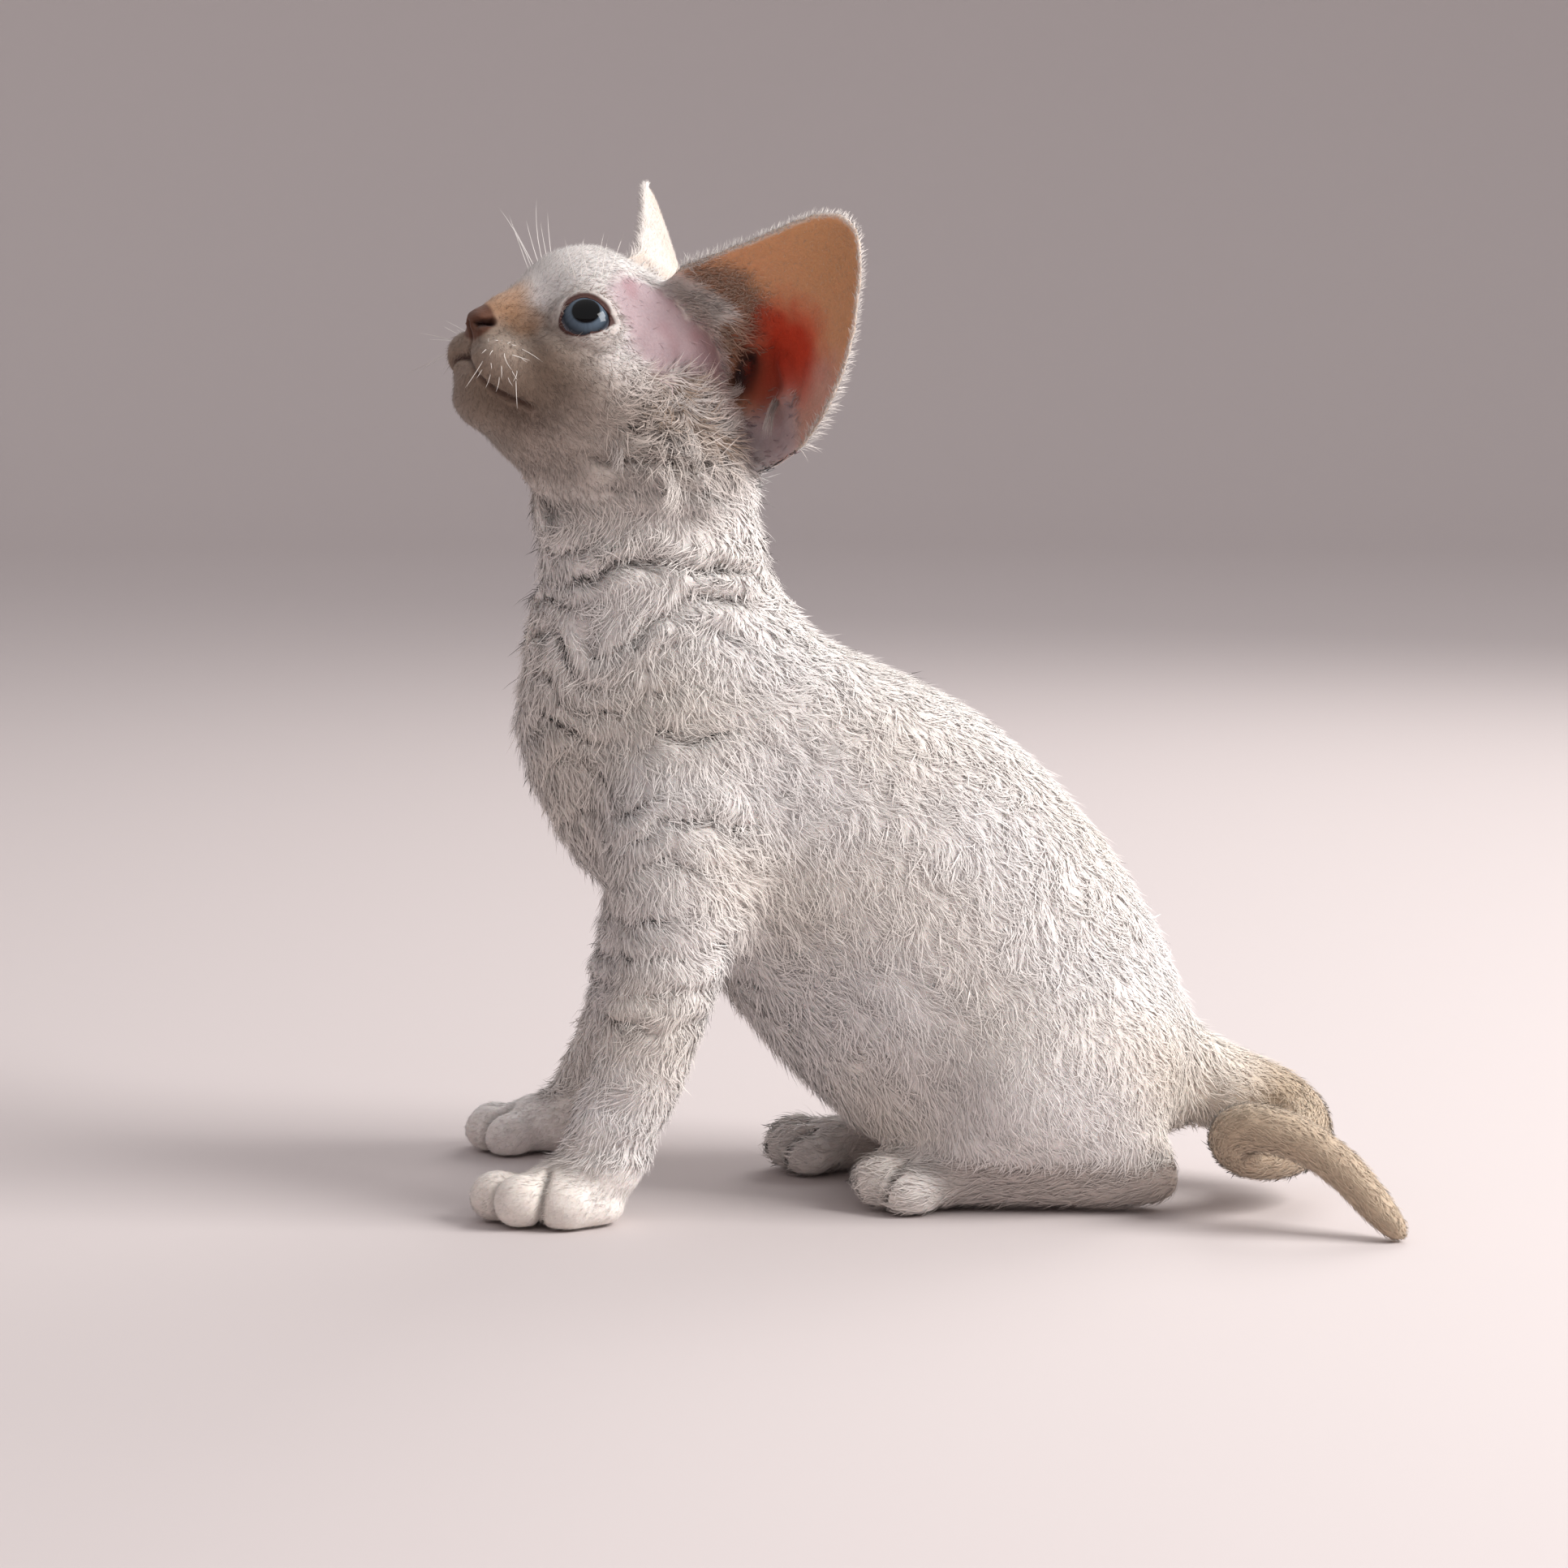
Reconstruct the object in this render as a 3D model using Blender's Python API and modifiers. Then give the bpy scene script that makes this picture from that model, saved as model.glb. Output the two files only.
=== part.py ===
"""A Devon Rex kitten about ten weeks old, life size, sitting up with its head raised and turned a little.

It faces -X with its left side towards -Y. Sizes in the tables are millimetres. The whole animal is built
from lofts and balls, fused into one skin, and then parted with thin cuts into the parts a person would name.
"""
import math
import random

import bmesh
import bpy
import numpy as np
from mathutils import Euler, Matrix, Vector
from mathutils.bvhtree import BVHTree
from mathutils.kdtree import KDTree

MM = 0.001

# Gap between neighbouring parts, and the level of the floor that the paws stand on.
GAP = 0.3
FLOOR = 0.0

# Head placement: the centre of the head and the turn of the face, in degrees.
HEAD_CENTRE = (-75.0, 2.0, 206.4)
HEAD_YAW = 31.4
HEAD_PITCH = 27.1
HEAD_ROLL = 6.1

# Trunk and neck, from under the skull to the rump: back (x, z), front or belly (x, z), half width, y of the middle.
TRUNK = (
    (-52, 204, -78, 199, 16.0, 3),
    (-42, 195, -85, 190, 19.5, 2),
    (-36, 184, -88, 182, 21.5, 1),
    (-33, 172, -90, 172, 21.5, 1),
    (-31, 160, -89, 160, 22.0, 1),
    (-27, 149, -90, 148, 23.5, 2),
    (-18, 139, -94, 132, 26.5, 2),
    (-4, 133, -95, 114, 29.0, 2),
    (12, 126, -89, 96, 30.5, 2),
    (27, 116.5, -77, 78, 31.5, 2),
    (42, 103, -58, 62, 33.0, 1),
    (54, 88, -43, 49, 34.5, 0),
    (63, 74, -33, 36, 36.0, 0),
    (70, 60, -21, 24, 36.5, 0),
    (75, 46, -8, 13, 34.5, 0),
    (76, 34, 10, 8, 31.0, 0),
    (75, 22, 30, 7, 25.0, 0),
    (70, 14, 48, 9, 14.0, 0),
)

# Limbs: centre x, y, z, radius fore and aft, radius across.
NEAR_FORELEG = (
    (-30, -15, 124, 16.0, 8.0),
    (-44, -20, 108, 21.0, 12.0),
    (-51, -25, 90, 21.5, 13.5),
    (-53, -29, 74, 18.0, 13.0),
    (-54, -31, 62, 15.0, 12.0),
    (-58, -33, 49, 13.6, 11.5),
    (-61, -34, 38, 13.2, 11.2),
    (-66, -35, 27, 12.8, 11.0),
    (-70, -36, 17, 12.2, 11.0),
    (-73, -37, 9, 11.0, 11.0),
)
FAR_FORELEG = (
    (-30, 17, 124, 16.0, 8.0),
    (-46, 22, 108, 20.0, 12.0),
    (-55, 28, 90, 19.5, 13.5),
    (-60, 33, 74, 16.5, 13.0),
    (-63, 36, 62, 14.0, 12.0),
    (-66, 39, 48, 12.8, 11.2),
    (-69, 41, 36, 12.2, 11.0),
    (-73, 43, 25, 12.0, 10.8),
    (-78, 45, 16, 11.5, 10.8),
    (-82, 46, 9, 10.5, 10.8),
)

# Paws as balls: centre x, y, z and radii x, y, z.
NEAR_FOREPAW = (
    (-78, -38, 7.2, 14, 11.5, 9.0),
    (-74, -40, 4.2, 10, 9.0, 6.0),
    (-78.5, -46, 5.2, 8.0, 6.2, 6.8),
    (-89.5, -44.5, 6.4, 7.6, 6.4, 7.4),
    (-95.5, -37.5, 6.2, 7.6, 6.2, 7.2),
    (-94.5, -30.0, 5.2, 7.2, 5.6, 6.4),
)
FAR_FOREPAW = (
    (-88, 46, 7.2, 14, 11.5, 8.5),
    (-84, 46, 4.2, 10, 9.0, 6.0),
    (-98.0, 37.5, 5.2, 7.4, 5.8, 6.6),
    (-103.0, 43.5, 6.0, 7.6, 6.0, 7.0),
    (-102.5, 50.5, 5.8, 7.6, 6.0, 6.8),
    (-96.0, 56.0, 5.0, 7.4, 5.6, 6.2),
)

# Hind legs of the near side; the far one is mirrored and set further forward by HIND_STAGGER.
HIND_STAGGER = 21.0
HIND_FAR_SHIFT_Y = -3.0
THIGH = (
    (58, -17, 52, 18.0, 13.0),
    (51, -23, 43, 24.0, 15.0),
    (41, -28, 34.5, 24.0, 15.0),
    (30, -31, 29, 19.0, 13.5),
    (21, -32, 25, 13.5, 11.0),
)
SHANK = (
    (16, -31, 23.5, 9.0, 8.5),
    (30, -30.5, 18.5, 9.5, 8.5),
    (46, -29, 16.5, 9.5, 8.0),
    (61, -27.5, 14.0, 8.5, 7.2),
    (69, -27, 12.0, 4.5, 4.5),
)
FOOT = (
    (71.5, -26.8, 9.4, 2.5, 2.5),
    (69.0, -26.7, 8.9, 6.8, 5.8),
    (63.0, -26.5, 7.7, 8.8, 7.2),
    (54.0, -26.0, 5.9, 7.0, 7.0),
    (38.0, -25.0, 5.4, 6.8, 7.2),
    (22.0, -24.0, 5.9, 7.2, 8.0),
    (8.0, -23.0, 7.4, 8.2, 9.0),
    (-2.0, -22.5, 6.9, 6.0, 8.0),
)
HIND_TOES = (
    (4.0, -31.5, 5.2, 8.6, 5.6, 6.6),
    (-2.5, -26.5, 7.4, 8.4, 5.5, 7.8),
    (-3.5, -20.0, 7.0, 8.2, 5.3, 7.2),
    (0.5, -15.0, 5.2, 7.8, 4.8, 6.0),
)

# Tail: centre x, y, z and radius, out of the rump, round a curl towards the near side and down to the floor.
TAIL = (
    (62, 0, 36, 13.5),
    (75, 0, 28, 13.0),
    (86, 0, 24, 11.0),
    (94, -1, 22, 9.6),
    (99, -5, 19.5, 8.6),
    (100.5, -12, 17, 7.8),
    (98, -19.5, 15, 7.2),
    (92, -26, 14.5, 7.0),
    (85, -31.5, 16, 6.9),
    (81, -37, 20, 6.7),
    (82.5, -42.5, 23.8, 6.4),
    (89, -46.5, 24.2, 6.0),
    (97, -49.5, 21.5, 5.6),
    (105, -52.5, 16.0, 5.3),
    (111.5, -55.5, 9.0, 4.8),
    (116.5, -58.5, 3.2, 4.0),
    (120.5, -61.0, -0.6, 2.8),
)

# Head, in its own axes: forward, towards its left, and up from HEAD_CENTRE. Centre then radii.
SKULL = (
    (-10, 0, 4, 27.5, 25.5, 22.0),
    (5, 0, 8, 18.5, 20.5, 18.2),
    (4, 0, -7, 20.0, 20.0, 17.0),
    (10, 0, -3, 16.5, 16.0, 13.5),
    (0, 0, -17, 22.0, 17.0, 16.0),
)
SKULL_PAIRS = (
    (-1, 16.5, -7, 17.0, 12.0, 13.5),
    (-7, 12, -17, 18.0, 12.5, 13.0),
    (1, 14.5, 3, 14.0, 10.5, 12.0),
    (11, 13, 9, 9.0, 9.5, 7.5),
    (11.5, 13.5, -6.5, 10.5, 10.0, 9.0),
)
MUZZLE = (
    (15.0, 0, -11, 14.5, 13.0, 12.0),
    (17.0, 0, -19.5, 12.0, 10.0, 10.0),
)
FACE = ((18.4, 0, -23.0, 9.4, 9.0, 7.0),)
FACE_PAIRS = (
    (20.4, 6.6, -13.4, 10.8, 7.6, 7.8),
    (14.0, 10.5, -12.5, 10.0, 7.5, 8.5),
)
NOSE_BRIDGE = (
    (4, 0, 11, 13.0, 12.0),
    (14, 0, 6.0, 9.0, 8.0),
    (23, 0, 0.2, 6.6, 6.0),
    (29.5, 0, -4.6, 4.6, 5.0),
)
NOSE_TIP = (29.4, 0, -6.0, 4.2, 5.6, 4.3)

EYE_CENTRE = (10.6, 15.8, 3.4)
EYE_RADIUS = 8.0
LID_THICKNESS = 1.1
EYE_LOOK = (0.62, 0.77, 0.12)
EYE_OPENING = (13.6, 9.6)
EYE_SLANT = 14.0

# Line of the mouth from under the nose to one corner, forward, left and up, and the groove that follows it.
MOUTH = (
    (29.5, 0, -15.2),
    (29.4, 3, -15.8),
    (29.2, 6, -17.2),
    (27.0, 7.8, -19.4),
    (24.0, 9.0, -20.8),
    (20.0, 10.4, -21.4),
    (16.5, 12.0, -21.0),
    (13.5, 13.6, -20.2),
)
MOUTH_RADIUS = 0.9
PHILTRUM = ((32.5, 0, -8.6), (31.0, 0, -12.0), (29.5, 0, -15.2))
PHILTRUM_RADIUS = 0.6
NOSTRIL = (31.0, 3.9, -7.0, 2.8, 0.9, 1.3)
NOSTRIL_TURN = (0.0, 12.0, 38.0)

# Ear: the middle of its base, the way its cup faces, its long axis, and its thickness.
EAR_BASE = (-24.0, 24.0, 9.0)
EAR_FACES = (0.638, 0.594, -0.488)
EAR_AXIS = (0.110, 0.555, 0.820)
EAR_THICKNESS = 2.0
# Along the ear from below its base to the tip: height, front edge, rear edge, depth of the cup.
EAR_SECTIONS = (
    (-17, 8.0, -17.0, 3.0),
    (-12, 17.0, -23.5, 9.5),
    (-4, 24.0, -26.0, 14.0),
    (5, 27.0, -26.0, 15.0),
    (14, 25.0, -25.0, 13.5),
    (22, 20.5, -23.0, 11.0),
    (31, 15.5, -19.5, 8.4),
    (39, 11.5, -15.2, 6.0),
    (45.5, 7.8, -11.0, 4.0),
    (50, 4.2, -7.2, 2.4),
    (52.5, 0.4, -3.6, 1.2),
)

# Outlines that part the body, seen from the side as x and z, with the band of y that each one reaches over.
HEAD_PART = ((-140, 177), (-91, 174), (-33, 169), (60, 162), (60, 270), (-140, 270))
NECK_PART = ((-140, 128), (-91, 135), (-22, 143), (30, 148), (30, 200), (-140, 200))
NEAR_FORELEG_PART = (
    (-38.5, 61), (-74, 64), (-125, 64), (-125, -5), (-50, -5), (-50, 26), (-45, 38), (-41.5, 48),
)
FAR_FORELEG_PART = (
    (-48, 61), (-80, 64), (-125, 64), (-125, -5), (-58, -5), (-58, 26), (-56, 38), (-52, 48),
)
PAW_PART = ((-140, -5), (-30, -5), (-30, 15.5), (-140, 15.5))
THIGH_PART = ((-14, -5), (73.2, -5), (73, 34), (60, 61), (34, 58), (14, 40), (8, 24), (-14, 20))
FOOT_PART = ((-14, -5), (73.2, -5), (73.2, 13), (30, 13), (13, 21), (-14, 19))
TAIL_BASE_PART = ((79, 2), (112, 2), (112, 48), (79, 48))
TAIL_MIDDLE_PART = ((72.9, -5), (135, -5), (135, 48), (72.9, 48))
TAIL_TIP_PART = ((92, -5), (135, -5), (135, 48), (92, 48))
FORELEG_INNER_Y = 14.0
THIGH_INNER_Y = 21.0
FOOT_INNER_Y = 10.0
TAIL_BASE_Y = (-14.2, 20.0)
TAIL_TIP_Y = -40.0
# The ear parts from the head along a line beside the skull, in the head's left and up.
EAR_PART = ((5, 39.5), (50, -12.5), (95, 0), (95, 95), (5, 95))

# The wavy coat: rows of rounded clumps, each a bent spindle lying across the lie of the hair.
CLUMP_RISE = 1.7
CLUMP_SUNK = 1.0
CLUMP_BEND = 26.0
COAT_SEED = 11
# Rows on the trunk: how far along it from the top, how far round from the front each way in degrees, and how many.
TRUNK_ROWS = (
    (0.125, 150, 7),
    (0.180, 150, 7),
    (0.235, 150, 7),
    (0.290, 145, 8),
    (0.342, 122, 7),
    (0.395, 86, 6),
    (0.450, 60, 5),
)
TRUNK_CLUMP = (9.6, 4.9)
# Rows on each foreleg: from, to and count along it, the degrees each way round from its front, and how many in each.
FORELEG_ROWS = (0.33, 0.82, 5)
FORELEG_REACH = 55.0
FORELEG_COUNT = 2
FORELEG_CLUMP = (6.8, 3.9)

# Locks: start and end of a band on the left of the head, in its axes, the lean of its hair, and how many.
LOCK_BANDS = (
    ((-3, 26, -15), (-27, 27, -16), (-0.55, 0.05, -0.80), 3),
    ((0, 22, -25), (-24, 24, -26), (-0.50, 0.05, -0.85), 2),
)
LOCK_SIZE = (12.0, 4.2, 1.2)
# Locks down the nape and the outside of the neck, as x, y and z of a point beside the skin.
NAPE_LOCKS = (
    (-28, -6, 167),
    (-25, -14, 158),
    (-23, 3, 155),
    (-18, -8, 147),
)
LOCK_LIFT = 0.35

# Resolution of the fused skin, how much each fuse is smoothed, and the triangles kept of it.
BODY_VOXEL = 1.6
BODY_SMOOTHING = 10
FEATURE_VOXEL = 1.1
FEATURE_SMOOTHING = 12
FINE_VOXEL = 0.8
FINE_SMOOTHING = 5
BODY_TRIANGLES = 6000
HEAD_TRIANGLES = 6800

# Edges sharper than this many degrees are shaded as edges.
SHARP_ANGLE = 50.0

# Base colour, roughness and kind of each part's surface.
WHITE_COAT = (0.80, 0.77, 0.73)
FACE_COAT = (0.74, 0.68, 0.62)
EAR_SKIN = (0.72, 0.50, 0.40)
TAIL_COAT = (0.72, 0.65, 0.57)
IRIS = (0.16, 0.21, 0.27)


def clear_scene():
    for thing in list(bpy.data.objects):
        bpy.data.objects.remove(thing, do_unlink=True)


def new_collection(name):
    collection = bpy.data.collections.new(name)
    bpy.context.scene.collection.children.link(collection)
    return collection


def object_from(name, mesh, collection):
    thing = bpy.data.objects.new(name, mesh)
    collection.objects.link(thing)
    return thing


def smooth_rows(rows, steps):
    """The rows of a table, with steps rows between each pair on a Catmull-Rom curve through them."""
    table = np.array(rows, float)
    padded = np.vstack([2 * table[0] - table[1], table, 2 * table[-1] - table[-2]])
    made = []
    for i in range(1, len(table)):
        before, start, end, after = padded[i - 1 : i + 3]
        for t in np.linspace(0.0, 1.0, steps, endpoint=False):
            made.append(
                0.5
                * (
                    2 * start
                    + (end - before) * t
                    + (2 * before - 5 * start + 4 * end - after) * t * t
                    + (3 * start - before - 3 * end + after) * t**3
                )
            )
    made.append(table[-1])
    return np.array(made)


def loft(name, rings, collection):
    """A closed mesh through rings that all have the same number of points."""
    shape = bmesh.new()
    loops = [[shape.verts.new(Vector(p) * MM) for p in ring] for ring in rings]
    for low, high in zip(loops, loops[1:]):
        for i in range(len(low)):
            j = (i + 1) % len(low)
            shape.faces.new((low[i], low[j], high[j], high[i]))
    shape.faces.new(loops[0][::-1])
    shape.faces.new(loops[-1])
    bmesh.ops.recalc_face_normals(shape, faces=shape.faces)
    mesh = bpy.data.meshes.new(name)
    shape.to_mesh(mesh)
    shape.free()
    return object_from(name, mesh, collection)


def trunk(name, stations, collection, sides=32):
    """A loft whose rings each span a back point and a belly point."""
    angles = np.linspace(0.0, 2 * math.pi, sides, endpoint=False)
    rings = []
    for back_x, back_z, front_x, front_z, half_width, middle_y in smooth_rows(stations, 3):
        back = np.array((back_x, middle_y, back_z))
        front = np.array((front_x, middle_y, front_z))
        middle, reach = (back + front) / 2, (back - front) / 2
        across = np.array((0.0, half_width, 0.0))
        rings.append([middle + reach * math.cos(a) + across * math.sin(a) for a in angles])
    return loft(name, rings, collection)


def limb(name, stations, collection, sides=24, steps=3):
    """A loft along a path, each ring square to it, with its own radius fore and aft and across."""
    table = smooth_rows(stations, steps)
    path = table[:, :3]
    tangents = np.gradient(path, axis=0)
    angles = np.linspace(0.0, 2 * math.pi, sides, endpoint=False)
    rings = []
    for centre, tangent, (along, aside) in zip(path, tangents, table[:, 3:5]):
        tangent = tangent / np.linalg.norm(tangent)
        across = np.array((0.0, 1.0, 0.0)) - tangent[1] * tangent
        across /= np.linalg.norm(across)
        fore = np.cross(across, tangent)
        rings.append([centre + fore * along * math.cos(a) + across * aside * math.sin(a) for a in angles])
    return loft(name, rings, collection)


def tube(name, stations, collection, sides=20, steps=4):
    """A round loft along a bent path, its rings turned as little as the bends allow."""
    table = smooth_rows(stations, steps)
    path, radii = table[:, :3], table[:, 3]
    tangents = np.gradient(path, axis=0)
    tangents /= np.linalg.norm(tangents, axis=1)[:, None]
    side = np.cross(tangents[0], (0.0, 1.0, 0.0))
    angles = np.linspace(0.0, 2 * math.pi, sides, endpoint=False)
    rings = []
    for centre, tangent, radius in zip(path, tangents, radii):
        side = side - side.dot(tangent) * tangent
        side /= np.linalg.norm(side)
        other = np.cross(tangent, side)
        rings.append([centre + radius * (side * math.cos(a) + other * math.sin(a)) for a in angles])
    return loft(name, rings, collection)


def ball(name, centre, radii, collection, turn=None, segments=32):
    shape = bmesh.new()
    bmesh.ops.create_uvsphere(shape, u_segments=segments, v_segments=segments // 2, radius=1.0)
    placed = Matrix.Translation(Vector(centre) * MM)
    if turn is not None:
        placed = placed @ turn.to_4x4()
    bmesh.ops.transform(shape, matrix=placed @ Matrix.Diagonal((*(Vector(radii) * MM), 1.0)), verts=shape.verts)
    mesh = bpy.data.meshes.new(name)
    shape.to_mesh(mesh)
    shape.free()
    return object_from(name, mesh, collection)


def balls(name, rows, collection):
    return [ball(f"{name}_{i}", row[:3], row[3:], collection) for i, row in enumerate(rows)]


def evaluated_mesh(thing):
    graph = bpy.context.evaluated_depsgraph_get()
    return bpy.data.meshes.new_from_object(thing.evaluated_get(graph), depsgraph=graph)


def applied(thing):
    """Puts the object's modifiers into its mesh."""
    mesh = evaluated_mesh(thing)
    thing.modifiers.clear()
    thing.data = mesh
    return thing


def fuse(name, pieces, collection, voxel, smoothing):
    """One skin round all the pieces, with the creases between them softened."""
    shape = bmesh.new()
    for piece in pieces:
        part = evaluated_mesh(piece)
        part.transform(piece.matrix_world)
        shape.from_mesh(part)
        bpy.data.meshes.remove(part)
        bpy.data.objects.remove(piece, do_unlink=True)
    mesh = bpy.data.meshes.new(name)
    shape.to_mesh(mesh)
    shape.free()
    fused = object_from(name, mesh, collection)
    remesh = fused.modifiers.new("skin", "REMESH")
    remesh.mode = "VOXEL"
    remesh.voxel_size = voxel * MM
    soften = fused.modifiers.new("soften", "SMOOTH")
    soften.factor = 0.5
    soften.iterations = smoothing
    return applied(fused)


def head_axes():
    """Forward, left and up of the head as the columns of a matrix."""
    yaw, pitch, roll = (math.radians(a) for a in (HEAD_YAW, HEAD_PITCH, HEAD_ROLL))
    forward = Vector((-math.cos(pitch) * math.cos(yaw), -math.cos(pitch) * math.sin(yaw), math.sin(pitch)))
    left = Vector((math.sin(yaw), -math.cos(yaw), 0.0))
    up = forward.cross(left)
    turned = Matrix.Rotation(-roll, 3, forward)
    left, up = turned @ left, turned @ up
    return Matrix((forward, left, up)).transposed()


def mirrored(row):
    return (row[0], -row[1], *row[2:])


def body_pieces(collection):
    pieces = [trunk("trunk", TRUNK, collection)]
    for side, stations in (("near", NEAR_FORELEG), ("far", FAR_FORELEG)):
        pieces.append(limb(f"{side}_foreleg", stations, collection))
    for side in ("near", "far"):
        for part, stations in (("thigh", THIGH), ("shank", SHANK), ("foot", FOOT)):
            rows = [hind_row(side, row) for row in stations]
            pieces.append(limb(f"{side}_{part}", rows, collection))
    pieces.append(tube("tail", TAIL, collection))
    return pieces


def hind_row(side, row):
    if side == "near":
        return row
    x, y, z = row[:3]
    return (x - HIND_STAGGER, -y + HIND_FAR_SHIFT_Y, z, *row[3:])


def paw_pieces(collection):
    pieces = balls("near_forepaw", NEAR_FOREPAW, collection)
    pieces += balls("far_forepaw", FAR_FOREPAW, collection)
    for side in ("near", "far"):
        pieces += balls(f"{side}_toe", [hind_row(side, row) for row in HIND_TOES], collection)
    return pieces


def skull_pieces(collection):
    rows = list(SKULL) + list(MUZZLE)
    for row in SKULL_PAIRS:
        rows += [row, mirrored(row)]
    pieces = balls("skull", rows, collection)
    pieces.append(limb("bridge", NOSE_BRIDGE, collection))
    return pieces


def face_pieces(collection):
    rows = list(FACE)
    for row in FACE_PAIRS:
        rows += [row, mirrored(row)]
    lid = EYE_RADIUS + LID_THICKNESS
    for centre in (EYE_CENTRE, mirrored(EYE_CENTRE)):
        rows.append((*centre, lid, lid, lid))
    return balls("face", rows, collection)


def ear(name, side, collection, points_across=17):
    """The cup of an ear: a curved sheet between its front and rear edges, thickened behind."""
    faces, axis = Vector(EAR_FACES).normalized(), Vector(EAR_AXIS).normalized()
    front = axis.cross(faces) * -1.0
    base = Vector(EAR_BASE)
    shape = bmesh.new()
    rows = []
    for height, front_edge, rear_edge, depth in smooth_rows(EAR_SECTIONS, 3):
        row = []
        for t in np.linspace(0.0, 1.0, points_across):
            across = front_edge + (rear_edge - front_edge) * t
            hollow = depth * math.sin(math.pi * t) ** 0.75
            point = base + axis * height + front * across - faces * hollow
            row.append(shape.verts.new(Vector((point.x, side * point.y, point.z)) * MM))
        rows.append(row)
    for low, high in zip(rows, rows[1:]):
        for i in range(points_across - 1):
            shape.faces.new((low[i], low[i + 1], high[i + 1], high[i]))
    mesh = bpy.data.meshes.new(name)
    shape.to_mesh(mesh)
    shape.free()
    sheet = object_from(name, mesh, collection)
    thick = sheet.modifiers.new("thickness", "SOLIDIFY")
    thick.thickness = EAR_THICKNESS * MM
    thick.offset = 0.0
    return applied(sheet)


def on_head(pieces):
    """Turns pieces made in the head's own axes to where the kitten holds its head."""
    placing = Matrix.Translation(Vector(HEAD_CENTRE) * MM) @ head_axes().to_4x4()
    for piece in pieces:
        piece.data.transform(placing)
    return pieces


def whole_skin(collection):
    """The kitten in one skin: broad masses first, then the face, then the nose, ears and paws."""
    masses = body_pieces(collection) + on_head(skull_pieces(collection))
    skin = fuse("masses", masses, collection, BODY_VOXEL, BODY_SMOOTHING)
    face = on_head(face_pieces(collection))
    skin = fuse("features", [skin, *face], collection, FEATURE_VOXEL, FEATURE_SMOOTHING)
    fine = [ball("nose", NOSE_TIP[:3], NOSE_TIP[3:], collection)]
    fine += [ear("ear_left", 1, collection), ear("ear_right", -1, collection)]
    fine = [*on_head(fine), *paw_pieces(collection)]
    return fuse("kitten", [skin, *fine], collection, FINE_VOXEL, FINE_SMOOTHING)


def thinned(skin, name, collection, triangles):
    """A copy of the skin with about this many triangles in all."""
    copy = object_from(name, skin.data.copy(), collection)
    fewer = copy.modifiers.new("fewer", "DECIMATE")
    fewer.ratio = triangles / sum(len(face.vertices) - 2 for face in skin.data.polygons)
    return applied(copy)


def cut(thing, cutter, operation, solver="EXACT"):
    """Keeps or takes away what lies in the cutter, and leaves the largest closed surface."""
    boolean = thing.modifiers.new("cut", "BOOLEAN")
    boolean.operation = operation
    boolean.object = cutter
    boolean.solver = solver
    applied(thing)
    return largest_surface(thing)


def largest_surface(thing):
    shape = bmesh.new()
    shape.from_mesh(thing.data)
    waiting, surfaces = set(shape.verts), []
    while waiting:
        surface, edge_of = set(), [waiting.pop()]
        while edge_of:
            vertex = edge_of.pop()
            surface.add(vertex)
            for edge in vertex.link_edges:
                other = edge.other_vert(vertex)
                if other in waiting:
                    waiting.discard(other)
                    edge_of.append(other)
        surfaces.append(surface)
    largest = max(surfaces, key=len)
    spare = [vertex for surface in surfaces if surface is not largest for vertex in surface]
    bmesh.ops.delete(shape, geom=spare, context="VERTS")
    shape.to_mesh(thing.data)
    shape.free()
    return thing


def grown(outline, distance):
    """The outline with every side moved outwards by the same distance."""
    points = [Vector(p) for p in outline]
    if sum(p.cross(q) for p, q in zip(points, points[1:] + points[:1])) < 0:
        points.reverse()
    made = []
    for i, point in enumerate(points):
        before = (point - points[i - 1]).normalized()
        after = (points[(i + 1) % len(points)] - point).normalized()
        out_before, out_after = Vector((before.y, -before.x)), Vector((after.y, -after.x))
        made.append(point + (out_before + out_after) * distance / (1 + out_before.dot(out_after)))
    return made


def prism(name, outline, low, high, collection, along="y"):
    """A block with this outline, in x and z between two values of y, or in y and z between two of x."""
    if along == "y":
        rings = [[(x, level, z) for x, z in outline] for level in (low, high)]
    else:
        rings = [[(level, y, z) for y, z in outline] for level in (low, high)]
    return loft(name, rings, collection)


def part_off(whole, name, blocks, collection):
    """Takes the part inside the blocks off the whole, leaving the gap between them."""
    part = object_from(name, whole.data.copy(), collection)
    inside = [prism("inside", outline, low, high, collection) for outline, low, high in blocks]
    around = [
        prism("around", grown(outline, GAP), low - GAP, high + GAP, collection)
        for outline, low, high in blocks
    ]
    for blocks_of in (inside, around):
        for other in blocks_of[1:]:
            cut(blocks_of[0], other, "UNION")
            bpy.data.objects.remove(other, do_unlink=True)
    cut(part, inside[0], "INTERSECT")
    cut(whole, around[0], "DIFFERENCE")
    for block in (inside[0], around[0]):
        bpy.data.objects.remove(block, do_unlink=True)
    return part


def spindle(name, centre, along, out, size, collection):
    """A rounded clump of coat lying along one way on the skin, its ends bent down with the skin."""
    length, width = size
    across = out.cross(along).normalized()
    along = across.cross(out).normalized()
    rings = []
    height = CLUMP_RISE + CLUMP_SUNK
    for t in (-0.96, -0.5, 0.5, 0.96):
        spread = math.sqrt(1.0 - t * t)
        dip = (t * length) ** 2 / (2 * CLUMP_BEND)
        middle = centre + along * (t * length) - out * (CLUMP_SUNK + dip)
        ring = []
        for i in range(8):
            a = 2 * math.pi * i / 8
            ring.append(middle + across * (width * spread * math.cos(a)) + out * (height * spread * math.sin(a)))
        rings.append(ring)
    return loft(name, rings, collection)


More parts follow.
